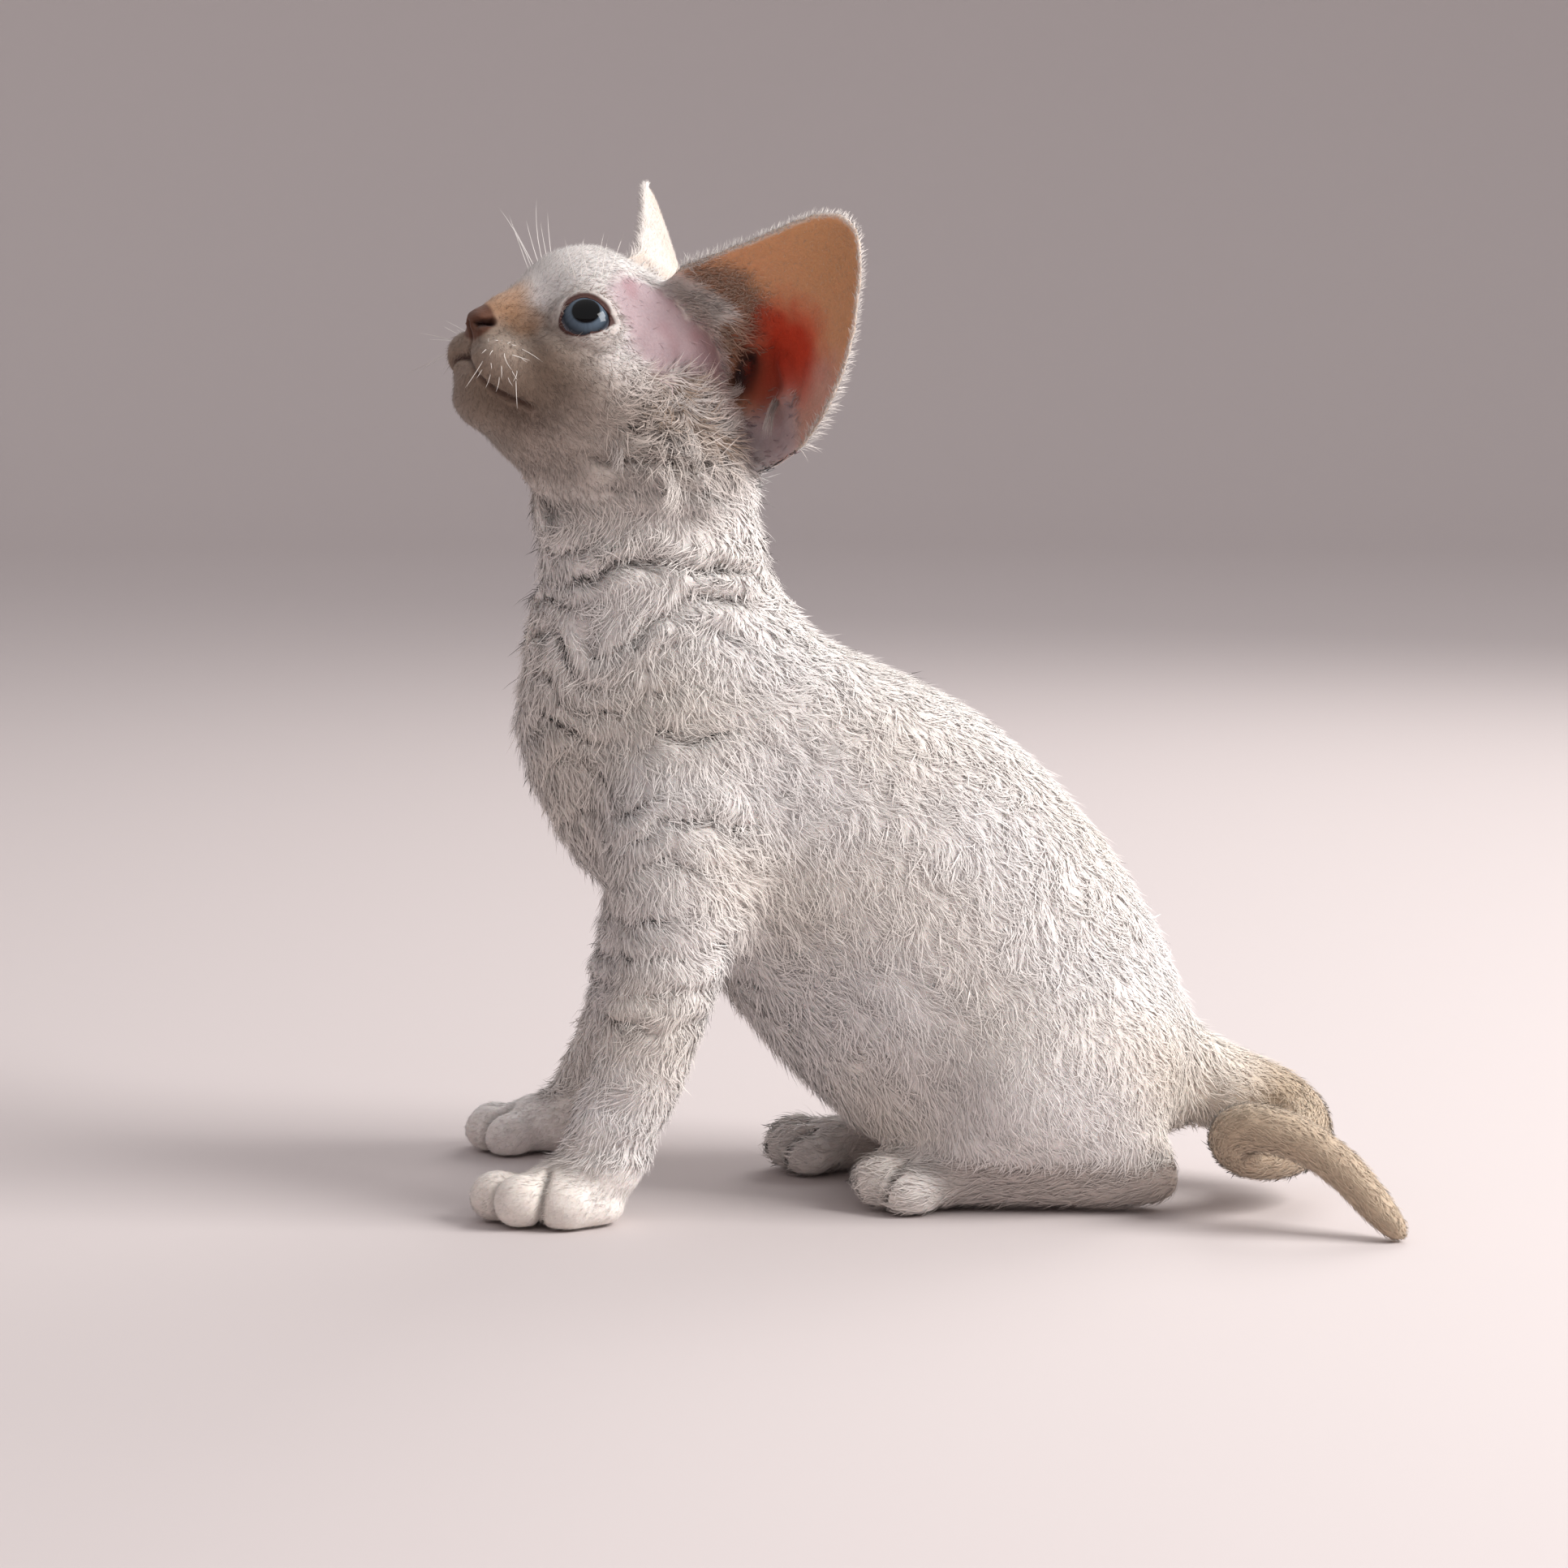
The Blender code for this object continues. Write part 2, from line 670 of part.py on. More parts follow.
def lock(name, root, lean, out, size, collection, draw):
    """A flat tapered lock rooted in the skin, leaving it at a slant and curling back towards it."""
    length, half_width, half_thickness = size
    across = out.cross(lean).normalized()
    lean = across.cross(out).normalized()
    rings = []
    sweep = draw.uniform(-0.25, 0.25)
    for t, wide in ((-0.35, 0.7), (0.2, 1.0), (0.6, 0.75), (1.0, 0.14)):
        rise = LOCK_LIFT * length * (t - 0.75 * t * t)
        middle = root + lean * (t * length) + out * rise + across * (sweep * length * t * t)
        ring = []
        for i in range(6):
            a = 2 * math.pi * i / 6
            ring.append(
                middle
                + across * (half_width * wide * math.cos(a))
                + out * (half_thickness * (0.5 + 0.5 * wide) * math.sin(a))
            )
        rings.append(ring)
    return loft(name, rings, collection)


def surface_at(tree, origin, direction):
    """Where a ray from inside leaves the skin for the last time within reach, with the way out of the skin."""
    start = origin + direction * 60.0
    hit, normal, _, _ = tree.ray_cast(start * MM, -direction)
    return (hit / MM, normal) if hit is not None else (None, None)


def trunk_clumps(tree, collection, draw):
    table = smooth_rows(TRUNK, 8)
    made = []
    for row, (share, reach, count) in enumerate(TRUNK_ROWS):
        back_x, back_z, front_x, front_z, _, middle_y = table[int(share * (len(table) - 1))]
        back, front = Vector((back_x, middle_y, back_z)), Vector((front_x, middle_y, front_z))
        axis = (back + front) / 2
        ahead = (front - back).normalized()
        side = Vector((0.0, 1.0, 0.0))
        down = ahead.cross(side).normalized()
        if down.z > 0:
            down.negate()
        for i in range(count):
            turn = (i + 0.5 * (row % 2) + 0.5) / count * 2 - 1 + draw.uniform(-0.1, 0.1) / count
            angle = math.radians(reach * turn)
            direction = ahead * math.cos(angle) + side * math.sin(angle)
            hit, out = surface_at(tree, axis + down * draw.uniform(-1.2, 1.2), direction)
            if hit is None or (hit - axis).length > 42.0:
                continue
            along = out.cross(down).normalized() + down * draw.uniform(-0.3, 0.3)
            length = TRUNK_CLUMP[0] * draw.uniform(0.85, 1.2)
            size = (length, TRUNK_CLUMP[1] * draw.uniform(0.9, 1.1))
            made.append(spindle(f"clump_{row}_{i}", hit, along, out, size, collection))
    return made


def foreleg_clumps(tree, collection, draw):
    made = []
    for side, stations, outward in (("near", NEAR_FORELEG, -1.0), ("far", FAR_FORELEG, 1.0)):
        table = smooth_rows(stations, 8)
        path = table[:, :3]
        tangents = np.gradient(path, axis=0)
        first, last, rows = FORELEG_ROWS
        for row, share in enumerate(np.linspace(first, last, rows)):
            at = int(share * (len(table) - 1))
            axis, down = Vector(path[at]), Vector(tangents[at]).normalized()
            ahead = (Vector((-1.0, 0.0, 0.0)) - down * -down.x).normalized()
            aside = Vector((0.0, outward, 0.0))
            for i in range(FORELEG_COUNT):
                turn = (i + 0.5 * (row % 2) + 0.25) / FORELEG_COUNT * 2 - 1
                angle = math.radians(FORELEG_REACH * turn + 25.0)
                direction = ahead * math.cos(angle) + aside * math.sin(angle)
                hit, out = surface_at(tree, axis, direction)
                if hit is None or (hit - axis).length > 26.0:
                    continue
                along = out.cross(down).normalized() + down * draw.uniform(-0.25, 0.25)
                size = [v * draw.uniform(0.9, 1.15) for v in FORELEG_CLUMP]
                made.append(spindle(f"{side}_{row}_{i}", hit, along, out, size, collection))
    return made


def head_locks(tree, collection, draw):
    """Locks in bands below the ears and round the jaw, the same bands on both sides but drawn afresh."""
    placing = Matrix.Translation(Vector(HEAD_CENTRE)) @ head_axes().to_4x4()
    made = []
    for side in (1, -1):
        for band, (start, end, lean, count) in enumerate(LOCK_BANDS):
            for i in range(count):
                share = (i + 0.5 + draw.uniform(-0.25, 0.25)) / count
                local = Vector(start).lerp(Vector(end), share)
                local.z += draw.uniform(-1.5, 1.5)
                point = placing @ Vector((local.x, side * local.y, local.z))
                hit, out, _, _ = tree.find_nearest(point * MM)
                way = head_axes() @ Vector((lean[0], side * lean[1], lean[2]))
                size = [LOCK_SIZE[0] * draw.uniform(0.8, 1.15), LOCK_SIZE[1] * draw.uniform(0.85, 1.1), LOCK_SIZE[2]]
                made.append(lock(f"lock_{side}_{band}_{i}", hit / MM, way, out, size, collection, draw))
    return made


def nape_locks(tree, collection, draw):
    made = []
    for i, point in enumerate(NAPE_LOCKS):
        hit, out, _, _ = tree.find_nearest(Vector(point) * MM)
        size = [LOCK_SIZE[0] * draw.uniform(0.8, 1.1), LOCK_SIZE[1] * 1.2, LOCK_SIZE[2]]
        made.append(lock(f"nape_{i}", hit / MM, Vector((0.15, 0.0, -1.0)), out, size, collection, draw))
    return made


def lower_under(thing, clumps):
    """Draws the skin in under the clumps, so that their tops come out to where the coat's tips were."""
    centres = KDTree(len(clumps))
    for i, clump in enumerate(clumps):
        points = [vertex.co for vertex in clump.data.vertices]
        centres.insert(sum(points, Vector()) / len(points), i)
    centres.balance()
    depth, reach = CLUMP_RISE * 0.8 * MM, TRUNK_CLUMP[0] * 1.3 * MM
    moves = []
    for vertex in thing.data.vertices:
        distance = centres.find(vertex.co)[2]
        moves.append(-vertex.normal * depth * max(0.0, min(1.0, 2.0 - 2.0 * distance / reach)))
    for vertex, move in zip(thing.data.vertices, moves):
        vertex.co += move
    for clump in clumps:
        points = [vertex.co for vertex in clump.data.vertices]
        middle = sum(points, Vector()) / len(points)
        out = skin_tree(thing).find_nearest(middle)[1]
        clump.data.transform(Matrix.Translation(-out * depth))


def add_coat(thing, pieces):
    """Joins clumps or locks to what they grow on, in one union."""
    united = new_collection("united")
    for piece in pieces:
        for home in list(piece.users_collection):
            home.objects.unlink(piece)
        united.objects.link(piece)
    boolean = thing.modifiers.new("coat", "BOOLEAN")
    boolean.operation = "UNION"
    boolean.operand_type = "COLLECTION"
    boolean.collection = united
    boolean.solver = "MANIFOLD"
    applied(thing)
    for piece in pieces:
        bpy.data.objects.remove(piece, do_unlink=True)
    bpy.data.collections.remove(united)
    return largest_surface(thing)


def skin_tree(thing):
    return BVHTree.FromObject(thing, bpy.context.evaluated_depsgraph_get())


def eye_axes(side):
    """The way an eye looks, its width and its height, in the head's axes."""
    look = Vector(EYE_LOOK).normalized()
    width = Vector((-look.y, look.x, 0.0)).normalized()
    height = look.cross(width)
    slant = Matrix.Rotation(math.radians(EYE_SLANT), 3, look)
    axes = [slant @ width, slant @ height]
    columns = [Vector((v.x, side * v.y, v.z)) for v in (look, *axes)]
    return columns


def eye_cutters(side, collection):
    """The almond between the lids and the round socket behind it."""
    look, width, height = eye_axes(side)
    centre = Vector((EYE_CENTRE[0], side * EYE_CENTRE[1], EYE_CENTRE[2]))
    half_width, half_height = EYE_OPENING[0] / 2, EYE_OPENING[1] / 2
    angles = np.linspace(0.0, 2 * math.pi, 28, endpoint=False)
    rings = []
    for reach, spread in ((2.0, 0.9), (EYE_RADIUS + 4.0, 1.15)):
        ring = []
        for a in angles:
            across = half_width * spread * math.cos(a)
            rise = half_height * spread * math.copysign(abs(math.sin(a)) ** 1.15, math.sin(a))
            ring.append(centre + look * reach + width * across + height * rise)
        rings.append(ring)
    opening = loft("eye_opening", rings, collection)
    radius = EYE_RADIUS + GAP
    socket = ball("socket", centre, (radius, radius, radius), collection)
    return [opening, socket]


def eyeball(name, side, collection):
    centre = (EYE_CENTRE[0], side * EYE_CENTRE[1], EYE_CENTRE[2])
    return ball(name, centre, (EYE_RADIUS,) * 3, collection, segments=18)


def nearest_on(tree, point):
    return tree.find_nearest(point * MM)[0] / MM


def face_cutters(head, collection):
    """Grooves for the mouth and the line under the nose, laid on the skin, and the two nostrils."""
    placing = Matrix.Translation(Vector(HEAD_CENTRE)) @ head_axes().to_4x4()
    tree = skin_tree(head)
    mouth = [mirrored(row) for row in MOUTH[:0:-1]] + list(MOUTH)
    cutters = []
    for name, rows, radius in (("mouth", mouth, MOUTH_RADIUS), ("philtrum", PHILTRUM, PHILTRUM_RADIUS)):
        path = [(*nearest_on(tree, placing @ Vector(row)), radius) for row in rows]
        cutters.append(tube(name, path, collection, sides=8, steps=2))
    for side in (1, -1):
        turn = Euler([math.radians(side * a) for a in NOSTRIL_TURN]).to_matrix()
        row = NOSTRIL if side == 1 else mirrored(NOSTRIL)
        nostril = ball("nostril", row[:3], row[3:], collection, turn, segments=12)
        cutters += on_head([nostril])
    return cutters


def shape_head(head, collection):
    """Opens the eyes and cuts the mouth, the nostrils and the line under the nose."""
    cutters = face_cutters(head, collection)
    for side in (1, -1):
        cutters += on_head(eye_cutters(side, collection))
    for cutter in cutters:
        cut(head, cutter, "DIFFERENCE")
        bpy.data.objects.remove(cutter, do_unlink=True)


def part_ears(head, collection):
    """Takes the ears off the head along the line beside the skull."""
    made = []
    for name, side in (("ear_left", 1), ("ear_right", -1)):
        outline = [(side * left, up) for left, up in EAR_PART]
        around = [(side * p[0], p[1]) for p in grown(EAR_PART, GAP)]
        inside = prism("inside", outline, -70, 40, collection, along="x")
        outside = prism("around", around, -70 - GAP, 40 + GAP, collection, along="x")
        on_head([inside, outside])
        part = object_from(name, head.data.copy(), collection)
        made.append(cut(part, inside, "INTERSECT"))
        cut(head, outside, "DIFFERENCE")
        for block in (inside, outside):
            bpy.data.objects.remove(block, do_unlink=True)
    return made


def body_parts(body, collection):
    """Parts the body below the head, in order from the front."""
    wide = 90.0
    made = []
    made.append(part_off(body, "neck", [(NECK_PART, -wide, wide)], collection))
    sides = (("left", NEAR_FORELEG_PART, -wide, -FORELEG_INNER_Y), ("right", FAR_FORELEG_PART, FORELEG_INNER_Y, wide))
    for side, outline, low, high in sides:
        leg = part_off(body, f"foreleg_{side}", [(outline, low, high)], collection)
        made += [leg, part_off(leg, f"forepaw_{side}", [(PAW_PART, -wide, wide)], collection)]
    for side in ("left", "right"):
        blocks = []
        for outline, inner in ((THIGH_PART, THIGH_INNER_Y), (FOOT_PART, FOOT_INNER_Y)):
            if side == "left":
                blocks.append((outline, -wide, -inner))
            else:
                moved = [(x - HIND_STAGGER, z) for x, z in outline]
                blocks.append((moved, inner + HIND_FAR_SHIFT_Y, wide))
        made.append(part_off(body, f"hindleg_{side}", blocks, collection))
    middle = part_off(body, "tail_middle", [(TAIL_MIDDLE_PART, -wide, TAIL_BASE_Y[0])], collection)
    tip = part_off(middle, "tail_tip", [(TAIL_TIP_PART, -wide, TAIL_TIP_Y)], collection)
    made.append(part_off(body, "tail_base", [(TAIL_BASE_PART, *TAIL_BASE_Y)], collection))
    body.name = "torso"
    return [*made, middle, tip, body]


def stand_on_origin(parts):
    """Moves every part so that the whole stands on the origin, centred over it."""
    corners = np.array([vertex.co[:] for part in parts for vertex in part.data.vertices])
    low, high = corners.min(axis=0), corners.max(axis=0)
    shift = Vector((-(low[0] + high[0]) / 2, -(low[1] + high[1]) / 2, -low[2]))
    for part in parts:
        part.data.transform(Matrix.Translation(shift))


def finish_part(part, colour, roughness):
    material = bpy.data.materials.new(part.name)
    material.use_nodes = True
    shader = material.node_tree.nodes["Principled BSDF"]
    shader.inputs["Base Color"].default_value = (*colour, 1.0)
    shader.inputs["Roughness"].default_value = roughness
    part.data.materials.clear()
    part.data.materials.append(material)
    part.data.name = part.name
    shape = bmesh.new()
    shape.from_mesh(part.data)
    for face in shape.faces:
        face.smooth = True
    for edge in shape.edges:
        edge.smooth = edge.calc_face_angle(0.0) < math.radians(SHARP_ANGLE)
    shape.to_mesh(part.data)
    shape.free()


def main():
    clear_scene()
    kitten = new_collection("devon_rex_kitten")
    skin = whole_skin(kitten)
    floor = prism("floor", ((-200, -20), (200, -20), (200, FLOOR), (-200, FLOOR)), -100, 100, kitten)
    body = thinned(skin, "torso", kitten, BODY_TRIANGLES)
    head_source = thinned(skin, "head_source", kitten, HEAD_TRIANGLES)
    draw = random.Random(COAT_SEED)
    tree = skin_tree(skin)
    clumps = trunk_clumps(tree, kitten, draw) + foreleg_clumps(tree, kitten, draw)
    lower_under(body, clumps)
    add_coat(body, clumps + nape_locks(tree, kitten, draw))
    add_coat(head_source, head_locks(tree, kitten, draw))
    cut(body, floor, "DIFFERENCE")
    for spare in (skin, floor):
        bpy.data.objects.remove(spare, do_unlink=True)

    head = part_off(head_source, "head", [(HEAD_PART, -90.0, 90.0)], kitten)
    bpy.data.objects.remove(head_source, do_unlink=True)
    bpy.data.objects.remove(part_off(body, "spare", [(HEAD_PART, -90.0, 90.0)], kitten), do_unlink=True)
    shape_head(head, kitten)
    ears = part_ears(head, kitten)
    eyes = on_head([eyeball("eye_left", 1, kitten), eyeball("eye_right", -1, kitten)])
    parts = [head, *ears, *eyes, *body_parts(body, kitten)]
    stand_on_origin(parts)
    for part in parts:
        kind = part.name.split("_")[0]
        colour = {"head": FACE_COAT, "ear": EAR_SKIN, "eye": IRIS, "tail": TAIL_COAT}.get(kind, WHITE_COAT)
        finish_part(part, colour, 0.12 if kind == "eye" else 0.75)


main()
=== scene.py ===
"""Skin, coat, eyes and whiskers of a Devon Rex kitten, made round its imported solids.

Shapes are worked out in millimetres in the frame that the solids were measured in, with the cat facing -X and
its left side towards -Y. The place of the left eye says how far that frame is from the part's own.
"""

import math

import bmesh
import bpy
import numpy as np
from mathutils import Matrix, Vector
from mathutils.bvhtree import BVHTree
from mathutils.kdtree import KDTree

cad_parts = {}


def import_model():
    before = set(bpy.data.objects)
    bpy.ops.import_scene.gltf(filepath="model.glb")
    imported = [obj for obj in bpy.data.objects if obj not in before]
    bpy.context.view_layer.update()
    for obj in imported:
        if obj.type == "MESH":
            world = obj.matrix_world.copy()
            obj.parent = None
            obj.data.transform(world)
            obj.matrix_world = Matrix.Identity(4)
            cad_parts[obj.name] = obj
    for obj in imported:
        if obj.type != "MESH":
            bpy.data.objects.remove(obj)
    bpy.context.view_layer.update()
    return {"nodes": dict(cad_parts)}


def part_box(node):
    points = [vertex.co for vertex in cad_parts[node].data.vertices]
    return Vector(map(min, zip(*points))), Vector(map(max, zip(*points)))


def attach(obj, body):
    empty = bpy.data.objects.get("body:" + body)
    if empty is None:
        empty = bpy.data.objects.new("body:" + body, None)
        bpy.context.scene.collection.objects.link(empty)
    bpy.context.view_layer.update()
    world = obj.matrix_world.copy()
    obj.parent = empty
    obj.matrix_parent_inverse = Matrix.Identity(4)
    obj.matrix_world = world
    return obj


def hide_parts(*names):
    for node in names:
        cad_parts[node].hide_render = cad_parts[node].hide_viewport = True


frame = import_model()

MM = 0.001
HEAD_CENTRE = np.array((-75.0, 2.0, 206.4))
HEAD_YAW, HEAD_PITCH, HEAD_ROLL = 31.4, 27.1, 6.1
EYE_CENTRE = (10.6, 15.8, 3.4)
EYE_RADIUS = 8.0
EYE_LOOK = (0.62, 0.77, 0.12)
EYE_SLANT = 14.0
# Opening between the lids as turns of the eyeball in degrees, outwards and upwards.
OPENING = (
    (50, 10), (36, 19), (15, 38), (-9, 43), (-23, 36), (-31, 24), (-36, 9), (-38, -8), (-35, -18), (-22, -26),
    (-5, -27), (16, -19), (37, -3),
)
OPENING_MIDDLE = (4.0, 8.0)
# Middle of the pupil in the same turns.
PUPIL = (1.0, 16.0)
# How far out the lids are shaped, in the opening's own measure, and how thick they lie on the ball.
LID_REACH = 2.2
LID_THICK = 0.55
CORNEA_RISE, CORNEA_ANGLE = 0.45, 0.75
EYE_RINGS, EYE_SEGMENTS = 48, 64
# Where the iris and the pupil end, each from outside the soft border to inside it, as turns in degrees.
IRIS_END, PUPIL_END = (44, 41.5), (25.5, 23.5)
EAR_AXIS = (0.110, 0.555, 0.820)
EAR_FACES = (0.638, 0.594, -0.488)
EAR_BASE = (-24.0, 24.0, 9.0)
FAR_EAR_TURN = 12.0
NOSE_TIP = (33.0, 0.0, -5.0)

# Down the middle of the neck and trunk, x and z.
SPINE = (
    (-65, 201), (-62, 183), (-60, 160), (-56, 136), (-49, 123), (-38, 111), (-25, 97), (-8, 82), (5, 68),
    (15, 55), (24, 42), (33, 29),
)
NEAR_FORELEG = (
    (-30, -15, 124), (-51, -25, 90), (-54, -31, 62), (-61, -34, 38), (-70, -36, 17), (-76, -37, 5),
)
FAR_FORELEG = ((-30, 17, 124), (-55, 28, 90), (-63, 36, 62), (-69, 41, 36), (-78, 45, 16), (-86, 46, 5))
# Middle of the tail and its radius.
TAIL_ROWS = (
    (62, 0, 36, 13.5), (75, 0, 28, 13.0), (86, 0, 24, 11.0), (94, -1, 22, 9.6), (99, -5, 19.5, 8.6),
    (100.5, -12, 17, 7.8), (98, -19.5, 15, 7.2), (92, -26, 14.5, 7.0), (85, -31.5, 16, 6.9),
    (81, -37, 20, 6.7), (82.5, -42.5, 23.8, 6.4), (89, -46.5, 24.2, 6.0), (97, -49.5, 21.5, 5.6),
    (105, -52.5, 16.0, 5.3), (111.5, -55.5, 9.0, 4.8), (116.5, -58.5, 3.4, 3.6), (120.0, -60.7, 0.4, 2.0),
)

# Lines of the face on the left side, in the head's axes: forward, left, up.
MOUTH = (
    (30.5, 0, -15.0), (30.0, 3, -15.8), (29.0, 6, -17.2), (27.0, 8.3, -19.2), (24.0, 10.2, -20.6),
    (20.0, 12.0, -21.2), (16.5, 13.4, -20.8), (13.5, 14.6, -19.8),
)
PHILTRUM = ((33.5, 0, -8.6), (32.5, 0, -12.0), (30.5, 0, -15.0))
NOSTRIL = ((31.8, 3.0, -7.6), (30.6, 4.4, -6.4), (28.9, 5.4, -4.9))
WHISKER_PAD = (24.5, 11.0, -12.0)
# Middles of the nose leather, the eye, the tousled ruff under the ear and the front wall of the ear.
NOSE_AT, EYE_AT, RUFF_AT, EAR_WALL_AT = (31, 2, -6), (15, 20, 4), (-18, 26, -6), (-18, 17, 24)
# Forms inside the ear, each a line, its width and how deep it is pressed in: the fuzzy knob on the front
# wall, the canal, the fold behind it, and two folds towards the rear edge.
EAR_FORMS = (
    (((-23.0, 15.0, 23.0), (-28.0, 15.0, 20.0)), 3.2, -1.5),
    (((-32.5, 15.5, 16.0), (-35.0, 16.0, 10.0)), 2.0, 0.5),
    (((-36.5, 24.5, 19.0), (-39.6, 26.8, 13.8), (-39.9, 23.2, 9.0)), 1.8, -1.3),
    (((-38.0, 31.7, 20.2), (-40.5, 30.0, 12.0), (-40.5, 25.0, 6.0)), 1.6, 0.5),
    (((-30.0, 33.0, 30.0), (-34.0, 37.0, 24.0), (-38.0, 39.0, 16.0)), 2.4, -0.7),
)
# Middles of the four toes of each foot, which give the creases between them.
TOES = (
    ((-78.5, -46, 5.2), (-89.5, -44.5, 6.4), (-95.5, -37.5, 6.2), (-94.5, -30, 5.2)),
    ((-98, 37.5, 5.2), (-103, 43.5, 6), (-102.5, 50.5, 5.8), (-96, 56, 5)),
    ((4, -31.5, 5.2), (-2.5, -26.5, 7.4), (-3.5, -20, 7), (0.5, -15, 5.2)),
    ((-17, 28.5, 5.2), (-23.5, 23.5, 7.4), (-24.5, 17, 7), (-20.5, 12, 5.2)),
)
# The fold between the left thigh and the long hind foot, and how far ahead the far leg stands.
FOOT_FOLD = (
    (7, -36, 15.5), (14, -42, 13.5), (28, -45, 12.5), (44, -43, 13.0), (58, -38, 14.0), (67, -31, 16.0),
)
FAR_LEG_AHEAD = 21
# Curled locks: spot in the head's axes, length, curl, rise off the skin, spread of the roots, tufts.
CURLS = (
    ((-11.3, 26.2, -4.2), 9, 1.5, 0.55, 2.2, 26), ((-19.0, 28.0, -7.8), 11, -1.6, 0.6, 2.4, 28),
    ((-15.0, 30.0, -13.0), 9, 1.7, 0.5, 2.2, 24), ((-18.0, 32.0, -20.0), 10, -1.4, 0.5, 2.6, 26),
    ((-26.0, 25.0, -4.0), 10, 1.4, 0.6, 2.4, 26), ((-30.0, 24.0, -11.0), 10, -1.5, 0.5, 2.6, 26),
    ((-8.0, 28.0, -12.0), 8, 1.2, 0.4, 2.0, 20), ((-4.0, 28.0, -19.0), 8, -1.5, 0.4, 2.2, 20),
    ((-24.0, 28.0, -20.0), 10, 1.5, 0.5, 2.6, 24), ((-34.0, 20.0, 4.0), 9, 1.2, 0.7, 1.8, 22),
    ((-38.0, 24.5, 10.0), 12, -1.2, 0.9, 1.4, 26), ((-30.0, 18.0, 7.0), 9, 1.0, 0.8, 1.8, 22),
    ((-27.0, 20.0, 2.0), 9, -1.3, 0.7, 2.0, 22), ((-40.0, 14.0, -12.0), 9, 1.0, 0.6, 2.4, 22),
    ((-22.0, 24.0, 2.0), 8, 1.6, 0.6, 2.0, 22),
)

EARS = ("ear_left", "ear_right")
FORELEGS = ("foreleg_left", "foreleg_right")
HIND_LEGS = ("hindleg_left", "hindleg_right")
TAIL_NODES = ("tail_base", "tail_middle", "tail_tip")
# Coat of each part: depth of the skin under it, length and width of a tuft, tufts for each square millimetre,
# passes of smoothing, height of the waves.
COAT = {
    "head": (0.7, 4.0, 0.36, 1.9, 4, 0.0),
    "neck": (1.5, 6.6, 0.34, 0.95, 34, 1.0),
    "torso": (1.5, 6.8, 0.34, 1.08, 120, 0.5),
    "tail_base": (0.8, 4.4, 0.28, 1.6, 18, 0.0),
    "tail_middle": (0.6, 3.8, 0.26, 1.8, 18, 0.0),
    "tail_tip": (0.5, 3.4, 0.24, 1.8, 16, 0.0),
}
PAIRED_COAT = {
    "ear": (0.25, 2.4, 0.22, 3.4, 2, 0.0),
    "foreleg": (1.2, 5.0, 0.32, 1.1, 26, 0.6),
    "forepaw": (0.6, 2.6, 0.28, 3.0, 2, 0.0),
    "hindleg": (0.9, 5.0, 0.32, 1.15, 6, 0.2),
}
COAT |= {f"{name}_{side}": row for name, row in PAIRED_COAT.items() for side in ("left", "right")}
# Passes of smoothing where locks stand on the solids at the jaw, and on the thigh and the hind foot.
JAW_PASSES, THIGH_PASSES, FOOT_PASSES = 22, 110, 60
SMOOTHING_ROUNDS = (2, 2, 4, 8, 18, 26, 60)
# Passes that soften the borders between the coats of two parts.
BORDER_PASSES = 9
# Size of the skin's first faces, and how far the nodes are swelled so that they join.
VOXEL = 1.15
JOIN = 0.36
# Where the wavy front of the body gives way to the smoother flank, as x.
FLANK_START, FRONT_END = -22, -44
# Waves of the coat: their spacing on the front and on the flank, the height left as it is, and how far they
# rise and fall from it.
FRONT_SPACING, FLANK_SPACING = 9.6, 8.5
WAVE_LEVEL, WAVE_HEIGHT = 0.72, 2.9
TOE_DEPTH, FOOT_FOLD_DEPTH = 1.5, 1.9
# The most triangles in one piece of the coat.
TRIANGLES_LIMIT = 190000
# The photo's frame and the camera's lens and height of the horizon over its middle, in its pixels.
PHOTO_SIDE = 1932
LENS_PIXELS = 4935
HORIZON_PIXELS = 580
CAMERA_AT = (-26.8, -980.0, 216.5)
SENSOR_WIDTH = 36.0
TUFTS_IN_CLUMP = 14
# How deep roots are sunk, the share of tufts that stand out and how much higher, the lowest that one may
# reach, and the size of a tuft's patch on the bake map.
ROOT_SINK = 0.3
STRAY_SHARE, STRAY_LOFT = 0.05, 1.7
FLOOR_CLEAR = 0.06
PATCH_HALF_WIDTH, PATCH_LENGTH = 0.0012, 0.003
rng = np.random.default_rng(23)


def head_axes():
    """Forward, left and up of the head as columns."""
    yaw, pitch, roll = (math.radians(a) for a in (HEAD_YAW, HEAD_PITCH, HEAD_ROLL))
    forward = np.array((-math.cos(pitch) * math.cos(yaw), -math.cos(pitch) * math.sin(yaw), math.sin(pitch)))
    left = np.array((math.sin(yaw), -math.cos(yaw), 0.0))
    up = np.cross(forward, left)
    c, s = math.cos(-roll), math.sin(-roll)
    return np.array((forward, left * c + up * s, up * c - left * s)).T


AXES = head_axes()
LOW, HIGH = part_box("eye_left")
SHIFT = np.array((LOW + HIGH) / 2) / MM - (AXES @ np.array(EYE_CENTRE) + HEAD_CENTRE)


def to_part(points):
    return (np.asarray(points) + SHIFT) * MM


def from_part(points):
    return np.asarray(points) / MM - SHIFT


def local(points):
    """Points as forward, left and up of the head."""
    return (points - HEAD_CENTRE) @ AXES


def world(points):
    return np.asarray(points) @ AXES.T + HEAD_CENTRE


def folded(flat):
    """Points of both sides of the head brought over to the left one."""
    out = flat.copy()
    out[:, 1] = np.abs(out[:, 1])
    return out


def length_of(v):
    return np.linalg.norm(v, axis=1)


def clamp(x):
    return np.clip(x, 0.0, 1.0)


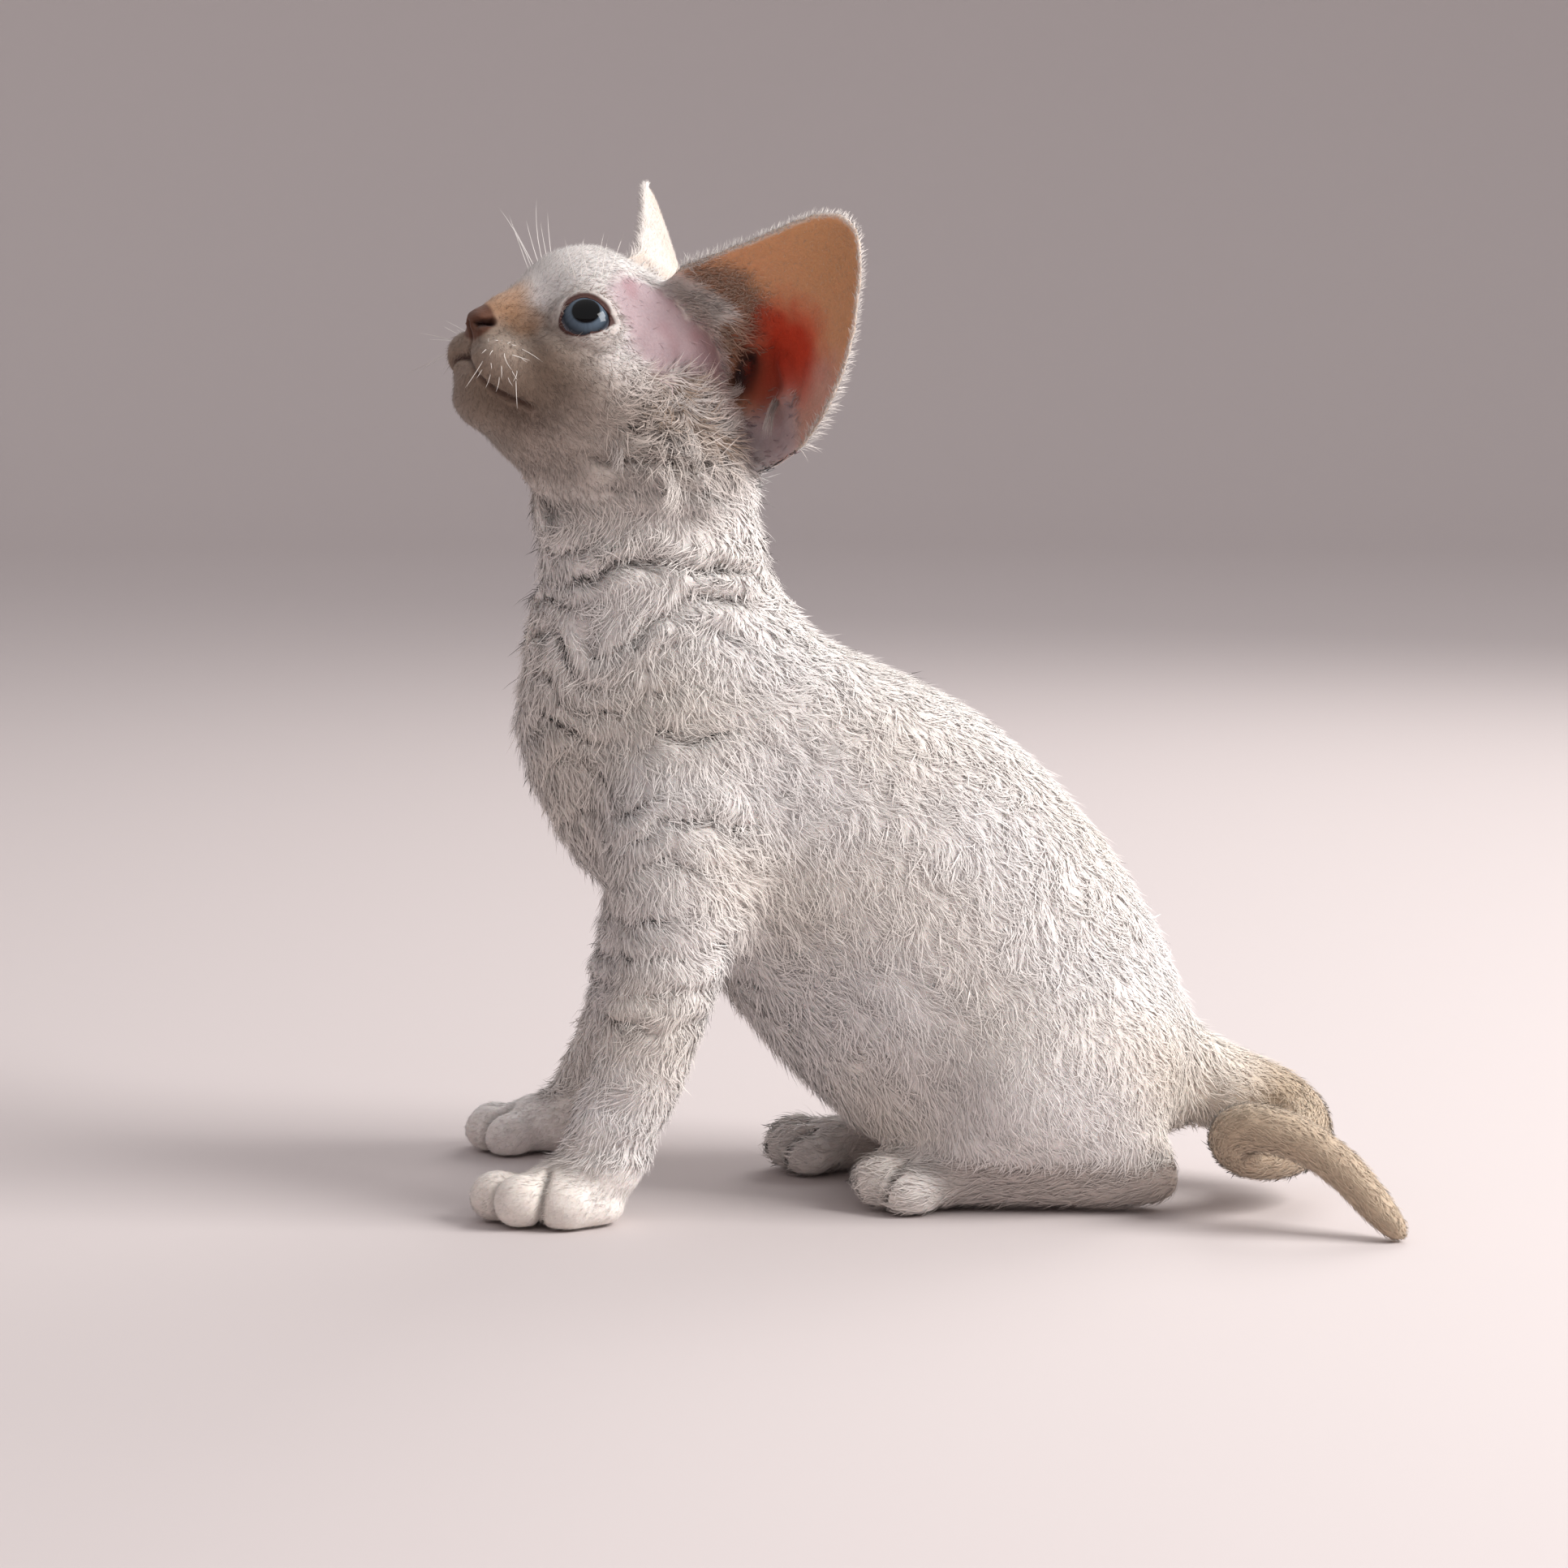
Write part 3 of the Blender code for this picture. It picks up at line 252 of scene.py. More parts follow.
def unit(v):
    return v / np.maximum(np.linalg.norm(v, axis=-1, keepdims=True), 1e-9)


def step(a, b, x):
    """0 where x is a, 1 where it is b, and a smooth rise between them. a may be the larger one."""
    t = clamp((x - a) / (b - a))
    return t * t * (3 - 2 * t)


def laid_flat(v, normal):
    """Directions laid flat against the normals."""
    return unit(v - normal * np.sum(v * normal, axis=1, keepdims=True))


def noise(points, size, seed, waves=9):
    """Smooth noise from -1 to 1 with features about size across, as a sum of slanted waves."""
    draw = np.random.default_rng(seed)
    total = np.zeros(len(points))
    for _ in range(waves):
        way = unit(draw.normal(size=3))
        pitch = 2 * math.pi / (size * draw.uniform(1.3, 2.6))
        total += np.sin(points @ way * pitch + draw.uniform(0, 2 * math.pi))
    return np.clip(total / math.sqrt(waves) * 0.9, -1.6, 1.6)


def curved(rows, steps=4):
    """A smooth path through the rows."""
    rows = np.asarray(rows, float)
    ends = np.concatenate([rows[:1] * 2 - rows[1:2], rows, rows[-1:] * 2 - rows[-2:-1]])
    path = []
    for k in range(len(rows) - 1):
        a, b, c, d = ends[k:k + 4]
        for t in np.arange(steps) / steps:
            path.append(0.5 * (2 * b + (c - a) * t + (2 * a - 5 * b + 4 * c - d) * t**2
                               + (3 * b - a - 3 * c + d) * t**3))
    path.append(rows[-1])
    return np.array(path)


TAIL_PATH = curved(TAIL_ROWS)
TAIL = TAIL_PATH[:, :3]


def welded(node):
    bm = bmesh.new()
    bm.from_mesh(node.data)
    bmesh.ops.remove_doubles(bm, verts=bm.verts, dist=1e-6)
    bm.normal_update()
    co = from_part(np.array([v.co[:] for v in bm.verts]))
    normal = np.array([v.normal[:] for v in bm.verts])
    faces = [[v.index for v in f.verts] for f in bm.faces]
    bm.free()
    return co, normal, faces


FLESH = sorted(n for n in frame["nodes"] if not n.startswith("eye"))


def is_on(owner, *names):
    """1 where the owner is one of the named nodes, and 0 elsewhere."""
    return np.isin(owner, [FLESH.index(n) for n in names]) * 1.0


def flesh():
    """All flesh nodes in one mesh, each swelled over the gap between them, and a tree that knows the node."""
    points, faces, owner, swelled = [], [], [], []
    count = 0
    for index, name in enumerate(FLESH):
        co, normal, rows = welded(frame["nodes"][name])
        points.append(co)
        swelled.append(co + normal * JOIN)
        faces += [[i + count for i in row] for row in rows]
        owner += [index] * len(rows)
        count += len(co)
    points = np.concatenate(points)
    tree = BVHTree.FromPolygons(points.tolist(), faces)
    return np.concatenate(swelled), faces, tree, np.array(owner)


def placed(name, data):
    """A new object in the scene."""
    obj = bpy.data.objects.new(name, data)
    bpy.context.scene.collection.objects.link(obj)
    return obj


def mesh_from(name, points, faces):
    mesh = bpy.data.meshes.new(name)
    mesh.from_pydata([tuple(p) for p in points], [], faces)
    mesh.update()
    return mesh


def quads_of(mesh):
    quads = np.empty(len(mesh.loops), np.int32)
    mesh.loops.foreach_get("vertex_index", quads)
    return quads.reshape(-1, 4)


def coords(mesh):
    co = np.empty(len(mesh.vertices) * 3, np.float32)
    mesh.vertices.foreach_get("co", co)
    return co.reshape(-1, 3).astype(float)


def remeshed(points, faces, voxel):
    obj = placed("skin_work", mesh_from("skin_work", points, faces))
    modifier = obj.modifiers.new("voxels", "REMESH")
    modifier.mode = "VOXEL"
    modifier.voxel_size = voxel
    mesh = bpy.data.meshes.new_from_object(obj.evaluated_get(bpy.context.evaluated_depsgraph_get()))
    bpy.data.objects.remove(obj)
    return mesh


def edges_from(faces):
    pairs = np.concatenate([faces[:, [i, (i + 1) % faces.shape[1]]] for i in range(faces.shape[1])])
    pairs.sort(axis=1)
    return np.unique(pairs[pairs[:, 0] != pairs[:, 1]], axis=0)


def relax(values, edges, rounds, factor=0.5, weight=None):
    """Averages each vertex's value with its neighbours'."""
    flat = values.ndim == 1
    values = values.reshape(len(values), -1).copy()
    a, b = edges[:, 0], edges[:, 1]
    count = len(values)
    degree = np.bincount(a, minlength=count) + np.bincount(b, minlength=count)
    degree = np.maximum(degree, 1)[:, None]
    rate = factor if weight is None else factor * weight[:, None]
    for _ in range(rounds):
        total = np.stack(
            [
                np.bincount(a, values[b, k], count) + np.bincount(b, values[a, k], count)
                for k in range(values.shape[1])
            ],
            axis=1,
        )
        values += rate * (total / degree - values)
    return values[:, 0] if flat else values


def vertex_normals(points, faces):
    a, b, c, d = (points[faces[:, k]] for k in range(4))
    n = np.cross(c - a, d - b)
    out = np.zeros_like(points)
    for k in range(4):
        for axis in range(3):
            out[:, axis] += np.bincount(faces[:, k], n[:, axis], len(points))
    return unit(out)


def along(points, path):
    """Distance along a path to the nearest point of it, and the path's way there."""
    path = np.asarray(path, float)
    best = np.full(len(points), 1e9)
    place = np.zeros(len(points))
    way = np.zeros((len(points), 3))
    run = 0.0
    for a, b in zip(path[:-1], path[1:]):
        span = b - a
        length = np.linalg.norm(span)
        t = clamp((points - a) @ span / length**2)
        gap = length_of(points - (a + t[:, None] * span))
        near = gap < best
        best = np.where(near, gap, best)
        place = np.where(near, run + t * length, place)
        way[near] = span / length
        run += length
    return place, way


def lie_of(points, owner):
    """The way the coat lies at each point, before it is laid on the skin."""
    way = np.zeros_like(points)
    flat = local(points)
    side = np.sign(flat[:, 1] + 1e-6)
    for index, name in enumerate(FLESH):
        at = owner == index
        p = points[at]
        if not len(p):
            continue
        if name == "head":
            away = flat[at] - np.array(NOSE_TIP)
            away[:, 2] -= 10.0 * step(0, -14, flat[at][:, 2])
            way[at] = unit(away) @ AXES.T
        elif name.startswith("ear"):
            axis = np.tile(np.array(EAR_AXIS), (len(p), 1))
            axis[:, 1] *= side[at]
            way[at] = axis @ AXES.T
        elif name in ("neck", "torso"):
            way[at] = along(p, [(x, 0, z) for x, z in SPINE])[1] + np.array((0.0, 0.0, -0.15))
        elif name.startswith("foreleg"):
            way[at] = along(p, NEAR_FORELEG if name.endswith("left") else FAR_FORELEG)[1]
        elif name.startswith("forepaw"):
            way[at] = np.array((-1.0, 0.0, -0.35))
        elif name.startswith("hindleg"):
            foot = step(20, 10, p[:, 2])[:, None]
            way[at] = (1 - foot) * np.array((0.5, 0, -0.85)) + foot * np.array((-1.0, 0, -0.1))
        else:
            way[at] = along(p, TAIL)[1]
    return way


def eye_frame(side):
    """The way an eye looks, its width and its height, in the head's axes."""
    look = unit(np.array(EYE_LOOK))
    width = unit(np.array((-look[1], look[0], 0.0)))
    height = np.cross(look, width)
    c, s = math.cos(math.radians(EYE_SLANT)), math.sin(math.radians(EYE_SLANT))
    rows = [look, width * c + height * s, height * c - width * s]
    return np.array([(v[0], side * v[1], v[2]) for v in rows])


def eye_centre(side):
    return np.array(EYE_CENTRE) * (1, side, 1)


def eye_place(points, side):
    """Distance from the eye's centre, part of the way to the opening's edge, the upward share of that, and
    the place across and up the opening in degrees.
    """
    rel = (local(points) - eye_centre(side)) @ eye_frame(side).T
    out = np.maximum(length_of(rel), 1e-6)
    turn = np.degrees(np.arccos(np.clip(rel[:, 0] / out, -1, 1)))
    flank = np.maximum(np.hypot(rel[:, 1], rel[:, 2]), 1e-6)
    across = turn * rel[:, 1] / flank - OPENING_MIDDLE[0]
    rise = turn * rel[:, 2] / flank - OPENING_MIDDLE[1]
    outline = np.array(OPENING) - OPENING_MIDDLE
    bearing = np.arctan2(outline[:, 1], outline[:, 0])
    order = np.argsort(bearing)
    reach = np.hypot(*outline[order].T)
    reach = np.interp(np.arctan2(rise, across), bearing[order], reach, period=2 * math.pi)
    return out, np.hypot(across, rise) / reach, rise / reach, across, rise


def rim_of(bearing, edge, front):
    """How far out the rim of the socket is now, for each of 36 bearings, in the opening's own measure."""
    middles = np.radians(np.arange(-180, 180, 10) + 5.0)
    rim = np.full(36, 1.4)
    for k, middle in enumerate(middles):
        off = np.abs((bearing - middle + math.pi) % (2 * math.pi) - math.pi)
        at = front & (off < math.radians(9))
        if at.sum() > 4:
            rim[k] = np.quantile(edge[at], 0.02)
    for _ in range(2):
        rim = (np.roll(rim, 1) + 2 * rim + np.roll(rim, -1)) / 4
    return np.interp(bearing, middles, rim, period=2 * math.pi)


def set_lids(points, normals):
    """Draws the socket's rim in to the opening, lays the lids over the ball and tucks their backs under."""
    points = points.copy()
    for side in (1, -1):
        centre = world(eye_centre(side))
        out, edge, _, across, rise = eye_place(points, side)
        facing = np.sum(normals * unit(points - centre), axis=1)
        front = (out > EYE_RADIUS - 0.5) & (out < EYE_RADIUS + 3.0) & (facing > 0.35) & (edge < 2.4)
        rim = rim_of(np.arctan2(rise, across), edge, front)
        drawn = np.where(edge < rim, edge / rim, 1 + (edge - rim) * (LID_REACH - 1) / (LID_REACH - rim))
        close = step(EYE_RADIUS + 5.5, EYE_RADIUS + 3.0, out)
        ratio = 1 + (drawn / np.maximum(edge, 1e-6) - 1) * close * (edge < LID_REACH)
        bearing = np.stack([across * ratio + OPENING_MIDDLE[0], rise * ratio + OPENING_MIDDLE[1]], axis=1)
        turn = np.radians(np.hypot(*bearing.T))
        flank = np.sin(turn)[:, None] * unit(bearing)
        ray = (np.cos(turn)[:, None] * eye_frame(side)[0] + flank @ eye_frame(side)[1:]) @ AXES.T
        edge = edge * ratio
        lid = EYE_RADIUS + LID_THICK + 0.8 * step(1.0, 1.4, edge)
        hold = step(2.0, 1.2, edge) * close
        over = np.maximum(out, lid) * (1 - hold) + lid * hold
        under = np.minimum(out, EYE_RADIUS - 0.3)
        outer = step(-0.2, 0.2, facing)
        target = out + ((over * outer + under * (1 - outer)) - out) * close
        near = (edge < LID_REACH) & (out < EYE_RADIUS + 5.5) & (out > EYE_RADIUS - 4.0)
        points[near] = centre + ray[near] * target[near, None]
    return points


def near_leg_x(points):
    """x as if both hind legs stood as far forward as the near one."""
    return np.where(points[:, 1] < 0, points[:, 0], points[:, 0] + FAR_LEG_AHEAD)


def owner_of(points):
    """The flesh node that each point is nearest to, by its place in FLESH."""
    return np.array([cad_owner[cad_tree.find_nearest(p)[2]] for p in points.tolist()])


start_points, start_faces, cad_tree, cad_owner = flesh()
work = remeshed(start_points, start_faces, VOXEL)
skin_faces = quads_of(work)
points = coords(work)
bpy.data.meshes.remove(work)

owner = owner_of(points)
edges = edges_from(skin_faces)
table = np.array([COAT[name] for name in FLESH])
maps = relax(table[owner], edges, BORDER_PASSES)
depth, _, _, _, passes, _ = maps.T

# The skin is smoothed most where locks stand on the solids, so that none shows under the finer coat.
flat = local(points)
jaw = step(8, -4, flat[:, 0]) * step(6, -6, flat[:, 2]) * is_on(owner, "head")
passes = np.maximum(passes, JAW_PASSES * jaw)
on_hind = is_on(owner, *HIND_LEGS)
passes = np.maximum(passes, THIGH_PASSES * on_hind * step(15, 24, points[:, 2]))
passes = np.maximum(passes, FOOT_PASSES * on_hind * step(8, 14, near_leg_x(points)))
passes = relax(passes, edges, 6)
done = 0
for rounds in SMOOTHING_ROUNDS:
    points = relax(points, edges, rounds, 0.5, clamp((passes - done) / rounds))
    done += rounds
normals = vertex_normals(points, skin_faces)
points = points - normals * (depth + JOIN)[:, None]
points = relax(points, edges, 2)

# The tail is drawn to a smooth tube round its middle line.
on_tail = relax(is_on(owner, *TAIL_NODES), edges, 8)
run, way = along(points, TAIL)
lengths = np.concatenate([[0], np.cumsum(length_of(np.diff(TAIL, axis=0)))])
middle = np.stack([np.interp(run, lengths, TAIL[:, k]) for k in range(3)], axis=1)
radius = np.interp(run, lengths, TAIL_PATH[:, 3]) - 0.5
to_tube = on_tail * step(16, 30, run) * step(lengths[-1] - 0.5, lengths[-1] - 4.0, run)
spoke = points - middle
gap = np.maximum(length_of(spoke), 1e-6)
points = points + spoke * (to_tube * (np.maximum(radius, 1.0) / gap - 1))[:, None]
points = relax(points, edges, 6, 0.5, on_tail)

# The far ear is turned a little about its own length, nearer to edge on.
far_ear = relax(is_on(owner, "ear_right"), edges, 12)
axis = unit(np.array(EAR_AXIS) * (1, -1, 1)) @ AXES.T
rel = points - world(np.array(EAR_BASE) * (1, -1, 1))
turn = far_ear * math.radians(FAR_EAR_TURN)
points = points + far_ear[:, None] * (
    (np.cos(turn) - 1)[:, None] * (rel - np.outer(rel @ axis, axis))
    + np.sin(turn)[:, None] * np.cross(axis, rel)
)


def gap_to(points, path):
    """Distance from each point to a path in the head's axes."""
    gap = np.full(len(points), 1e9)
    rows = np.asarray(path, float)
    for a, b in zip(rows[:-1], rows[1:]):
        span = b - a
        t = clamp((points - a) @ span / (span @ span))
        gap = np.minimum(gap, length_of(points - (a + t[:, None] * span)))
    return gap


def refined(points, faces, wanted):
    """Cuts the faces whose corners are wanted into smaller ones."""
    mesh = mesh_from("refine", points, faces.tolist())
    bm = bmesh.new()
    bm.from_mesh(mesh)
    bm.verts.ensure_lookup_table()
    picked = [e for e in bm.edges if wanted[e.verts[0].index] and wanted[e.verts[1].index]]
    bmesh.ops.subdivide_edges(bm, edges=picked, cuts=1, use_grid_fill=True, smooth=0.0)
    bmesh.ops.triangulate(bm, faces=[f for f in bm.faces if len(f.verts) > 4])
    bm.verts.index_update()
    co = np.array([v.co[:] for v in bm.verts])
    rows = [[v.index for v in f.verts] for f in bm.faces]
    bm.free()
    bpy.data.meshes.remove(mesh)
    quads = np.array([row if len(row) == 4 else (*row, row[2]) for row in rows], np.int64)
    return co, quads


def laid(path, points, faces, steps=6):
    """A path in the head's axes brought down onto the skin."""
    tree = BVHTree.FromPolygons(points.tolist(), faces.tolist())
    rows = np.asarray(path, float)
    t = np.linspace(0, len(rows) - 1, (len(rows) - 1) * steps + 1)
    fine = np.stack([np.interp(t, np.arange(len(rows)), rows[:, k]) for k in range(3)], axis=1)
    return local(np.array([tree.find_nearest(p)[0] for p in world(fine).tolist()]))


mouth_at = laid(MOUTH, points, skin_faces)
philtrum_at = laid(PHILTRUM, points, skin_faces)
nostril_at = laid(NOSTRIL, points, skin_faces)


def face_zone(points, reach):
    """The vertices near the eyes, nose and mouth."""
    fold = folded(local(points))
    return (
        (gap_to(fold, mouth_at) < 4 * reach) | (gap_to(fold, philtrum_at) < 4 * reach)
        | (length_of(fold - NOSE_AT) < 8 * reach)
        | (length_of(fold - EYE_AT) < 11 * reach)
        | ((reach > 1.2) & (points[:, 2] < 14) & (points[:, 0] < 6))
    )


for reach in (1.5, 1.0):
    points, skin_faces = refined(points, skin_faces, face_zone(points, reach))
edges = edges_from(skin_faces)
flat = local(points)
points = relax(points, edges, 3, 0.5, (gap_to(flat, [(30, 0, -6), (29, 0, -10)]) < 30).astype(float))
normals = vertex_normals(points, skin_faces)
flat = local(points)


def pressed(points, normals, gap, width, amount):
    """Skin pushed in, or out where amount is below 0, near a line or spot at that distance."""
    return points - normals * (amount * np.exp(-((gap / width) ** 2)))[:, None]


def facing_cup(normals, flat):
    """How far each normal points the way that the ear's cup opens, on either side."""
    outward = normals @ AXES
    outward[:, 1] *= np.sign(flat[:, 1])
    return outward @ unit(np.array(EAR_FACES))


fold = folded(flat)
mouth_gap = gap_to(fold, mouth_at)
nostril_gap = gap_to(fold, nostril_at)
philtrum_gap = gap_to(fold, philtrum_at)
# The whisker pad swells over the lip, and the lip line, nostril and philtrum are pressed in.
points = pressed(points, normals, length_of(fold - WHISKER_PAD), 5.4, -1.6)
points = pressed(points, normals, mouth_gap, 0.8, 1.7 * step(11.0, 15.0, flat[:, 0]))
points = pressed(points, normals, philtrum_gap, 0.55, 1.2)
points = pressed(points, normals, nostril_gap, 0.8, 2.6)
open_side = step(-0.1, 0.35, facing_cup(normals, flat))
for path, radius, amount in EAR_FORMS:
    points = pressed(points, normals, gap_to(fold, path), radius, amount * open_side)
toe_crease = np.zeros(len(points))
for toes in np.array(TOES):
    heel = toes.mean(0) + np.array((9.0, 0.0, 0.0))
    for a, b in zip(toes[:-1], toes[1:]):
        middle = (a + b) / 2
        ahead = unit((middle - heel) * (1, 1, 0))
        rel = points - middle
        off = np.abs(rel @ unit(b - a))
        reach = step(-5.5, -1.0, rel @ ahead) * step(12, 8.5, length_of(rel))
        toe_crease = np.maximum(toe_crease, np.exp(-((off / 1.0) ** 2)) * reach)
foot_crease = np.zeros(len(points))
for fold_path in (np.array(FOOT_FOLD), np.array(FOOT_FOLD) * (1, -1, 1) + (-FAR_LEG_AHEAD, -3, 0)):
    foot_crease = np.maximum(foot_crease, np.exp(-((gap_to(points, fold_path) / 2.4) ** 2)))
points = points - normals * (TOE_DEPTH * toe_crease + FOOT_FOLD_DEPTH * foot_crease)[:, None]
normals = vertex_normals(points, skin_faces)
points = set_lids(points, normals)
points = relax(points, edges, 1, 0.35)
smooth_points = points.copy()
normals = unit(relax(vertex_normals(points, skin_faces), edges, 2))

owner = owner_of(points)
maps = relax(table[owner], edges, BORDER_PASSES)
neckline = is_on(owner, "head", "neck") * step(-6, -14, flat[:, 2])
neckline = relax(neckline, edges, 4)
maps = relax(maps, edges, 40, 0.5, neckline)
_, length_map, width_map, density_map, _, wave_map = maps.T
is_face = is_on(owner, "head") * step(-14, 16, flat[:, 0])
muzzle = is_on(owner, "head") * step(12, 25, flat[:, 0])
length_map = length_map * (1 - 0.2 * is_face - 0.32 * muzzle)
width_map = width_map * (1 - 0.08 * is_face - 0.12 * muzzle)
density_map = density_map * (1 + 0.75 * is_face)
lie = unit(relax(lie_of(points, owner), edges, 26))
lie = laid_flat(lie, normals)
lie = unit(relax(lie, edges, 6))


def wave(p):
    """Height of the coat's waves, 0 to 1, how strong they are there, and the swing of the hair over them."""
    warp = 0.42 * noise(p, 15, 3) + 0.16 * noise(p, 6, 4)
    front = (200 - p[:, 2]) / FRONT_SPACING + warp
    back = (p[:, 0] * 0.94 - p[:, 2] * 0.33) / FLANK_SPACING + 0.8 * noise(p, 13, 5) + 0.25 * noise(p, 6, 7)
    toward = step(-20, -42, p[:, 0])
    high = (toward * np.abs(np.sin(math.pi * front)) ** 0.62
            + (1 - toward) * np.abs(np.sin(math.pi * back)) ** 1.2)
    swing = toward * np.cos(2 * math.pi * front) + (1 - toward) * np.cos(2 * math.pi * back)
    patch = np.clip(0.62 + 0.75 * noise(p, 9, 6), 0.05, 1.35)
    return high, patch, swing


high, patch, swing = wave(points)
front_zone = step(FLANK_START, FRONT_END, points[:, 0]) * step(30, 60, points[:, 2])
amount = wave_map * (0.32 + 0.85 * front_zone) * patch
throat = step(10, -12, flat[:, 0]) * step(-4, -16, flat[:, 2]) * step(203, 192, points[:, 2])
throat = throat * step(158, 170, points[:, 2])
amount = np.maximum(amount, 0.7 * throat * patch)
points = points + normals * ((high - WAVE_LEVEL) * WAVE_HEIGHT * amount)[:, None]
normals = vertex_normals(points, skin_faces)


def tone(hexa):
    """A colour written as in a paint list, in linear light."""
    v = np.array([int(hexa[i:i + 2], 16) for i in (0, 2, 4)]) / 255
    return np.where(v <= 0.04045, v / 12.92, ((v + 0.055) / 1.055) ** 2.4)


WHITE = tone("f8f3f0")
CREAM = tone("f0e2cf")
TAIL_CREAM = tone("c3ab8e")
MUZZLE_TONE_AND_SHADE = tone("87725f")
TAN = tone("ad7f56")
LEATHER = tone("63402f")
RIM = tone("4a2c26")
BALD = tone("b39ca1")
PINK = tone("cf9f94")
EAR_ORANGE_AND_GLOW = tone("e2a06c")
# Red painted glow of light shining through the ear from behind.
EAR_PAINTED_GLOW = tone("cf3410")
# Near black painted shade for the ear canal and the nostrils.
PAINTED_HOLE_SHADE = tone("2a0d08")
EAR_BROWN = tone("9a7562")
THROAT_TONE_AND_SHADE = tone("a99689")
RUFF_TONE_AND_SHADE = tone("a8927f")
EAR_BACK = tone("c9b3a0")
BALD_RED = tone("a2767c")
BALD_SHADE = tone("8a6f78")
FOOT_SHADE = tone("a8968a")
EAR_EDGE = tone("ead9c8")
EAR_EDGE_FUR = tone("f1e6dc")
LID_FUR = tone("7a5547")
WHISKER = tone("f6efe8")
FRINGE = tone("f4ebe4")
CURL = tone("efe6df")
EYE_WHITE = tone("8b8d99")
IRIS = tone("566472")
IRIS_EDGE = tone("39444f")
IRIS_RING = tone("20262d")
PUPIL_BLACK = tone("040405")

# Patches of colour in the head's axes: tone, middle, size each way, softness of the border, strength.
# The muzzle, cheek and chin are a grey-tan tone darkened with painted shade of the face.
JAW_PATCHES = (
    (MUZZLE_TONE_AND_SHADE, (22, 10, -12), (17, 17, 14), 0.45, 0.85),
    (MUZZLE_TONE_AND_SHADE * 0.86, (11, 24, -10), (9, 9, 8), 0.6, 0.5),
    (MUZZLE_TONE_AND_SHADE * 0.8, (20, 4, -27), (14, 11, 9), 0.5, 0.55),
)
CROWN_PATCHES = ((tone("d9d3cf"), (8, 6, 20), (24, 18, 13), 0.4, 0.85),)
NOSE_PATCHES = (
    (tone("a8988b"), (24.5, 11, -11), (6.5, 6, 5), 0.4, 0.8),
    # The dark band along the lip below the whisker pad is painted shadow under the pad.
    (tone("5d483d"), (17, 14, -21), (8, 8, 3.5), 0.6, 0.5),
    (TAN, (26, 0, 1), (9, 7, 7), 0.4, 0.8),
    (TAN * 0.9, (23, 9, -1), (5, 5, 4), 0.5, 0.6),
)
CUP_PATCHES = (
    (PINK * 1.1, (-43, 38, 12), (8, 16, 14), 0.5, 0.75),
    (EAR_BROWN, EAR_WALL_AT, (15, 9, 13), 0.35, 0.8),
    # The red inside the cup is painted glow of light shining through the ear from behind, deeper red lower
    # down.
    (EAR_PAINTED_GLOW, (-34, 27, 22), (9, 12, 13), 0.62, 0.95),
    (EAR_PAINTED_GLOW * 0.55, (-37, 22, 15), (6, 6, 9), 0.6, 0.8),
    # A near black spot is painted shade deep in the ear canal.
    (PAINTED_HOLE_SHADE, (-33, 15.5, 13), (5, 3, 7), 0.4, 1.0),
)
# The bald skin of the temple, as middles and sizes.
BALD_SPOTS = (((-4, 21, 13), (10, 7, 12)), ((-14, 21, 13), (12, 6, 8)), ((4, 18, 15), (7, 6, 8)))


def blend(base, colour, amount):
    """The base drawn towards a colour by an amount at each point."""
    return base * (1 - amount[:, None]) + np.asarray(colour) * amount[:, None]


def ball_at(flat, centre, radius, soft):
    """1 inside a ball that may be longer one way than another, fading to 0 over its border."""
    d = length_of((flat - np.array(centre)) / np.asarray(radius, float))
    return step(1 + soft, 1 - soft, d)


def patched(base, flat, where, patches):
    """The patches of colour laid over the base, each as strong as where says."""
    for colour, centre, radius, soft, strength in patches:
        base = blend(base, colour, where * ball_at(flat, centre, radius, soft) * strength)
    return base


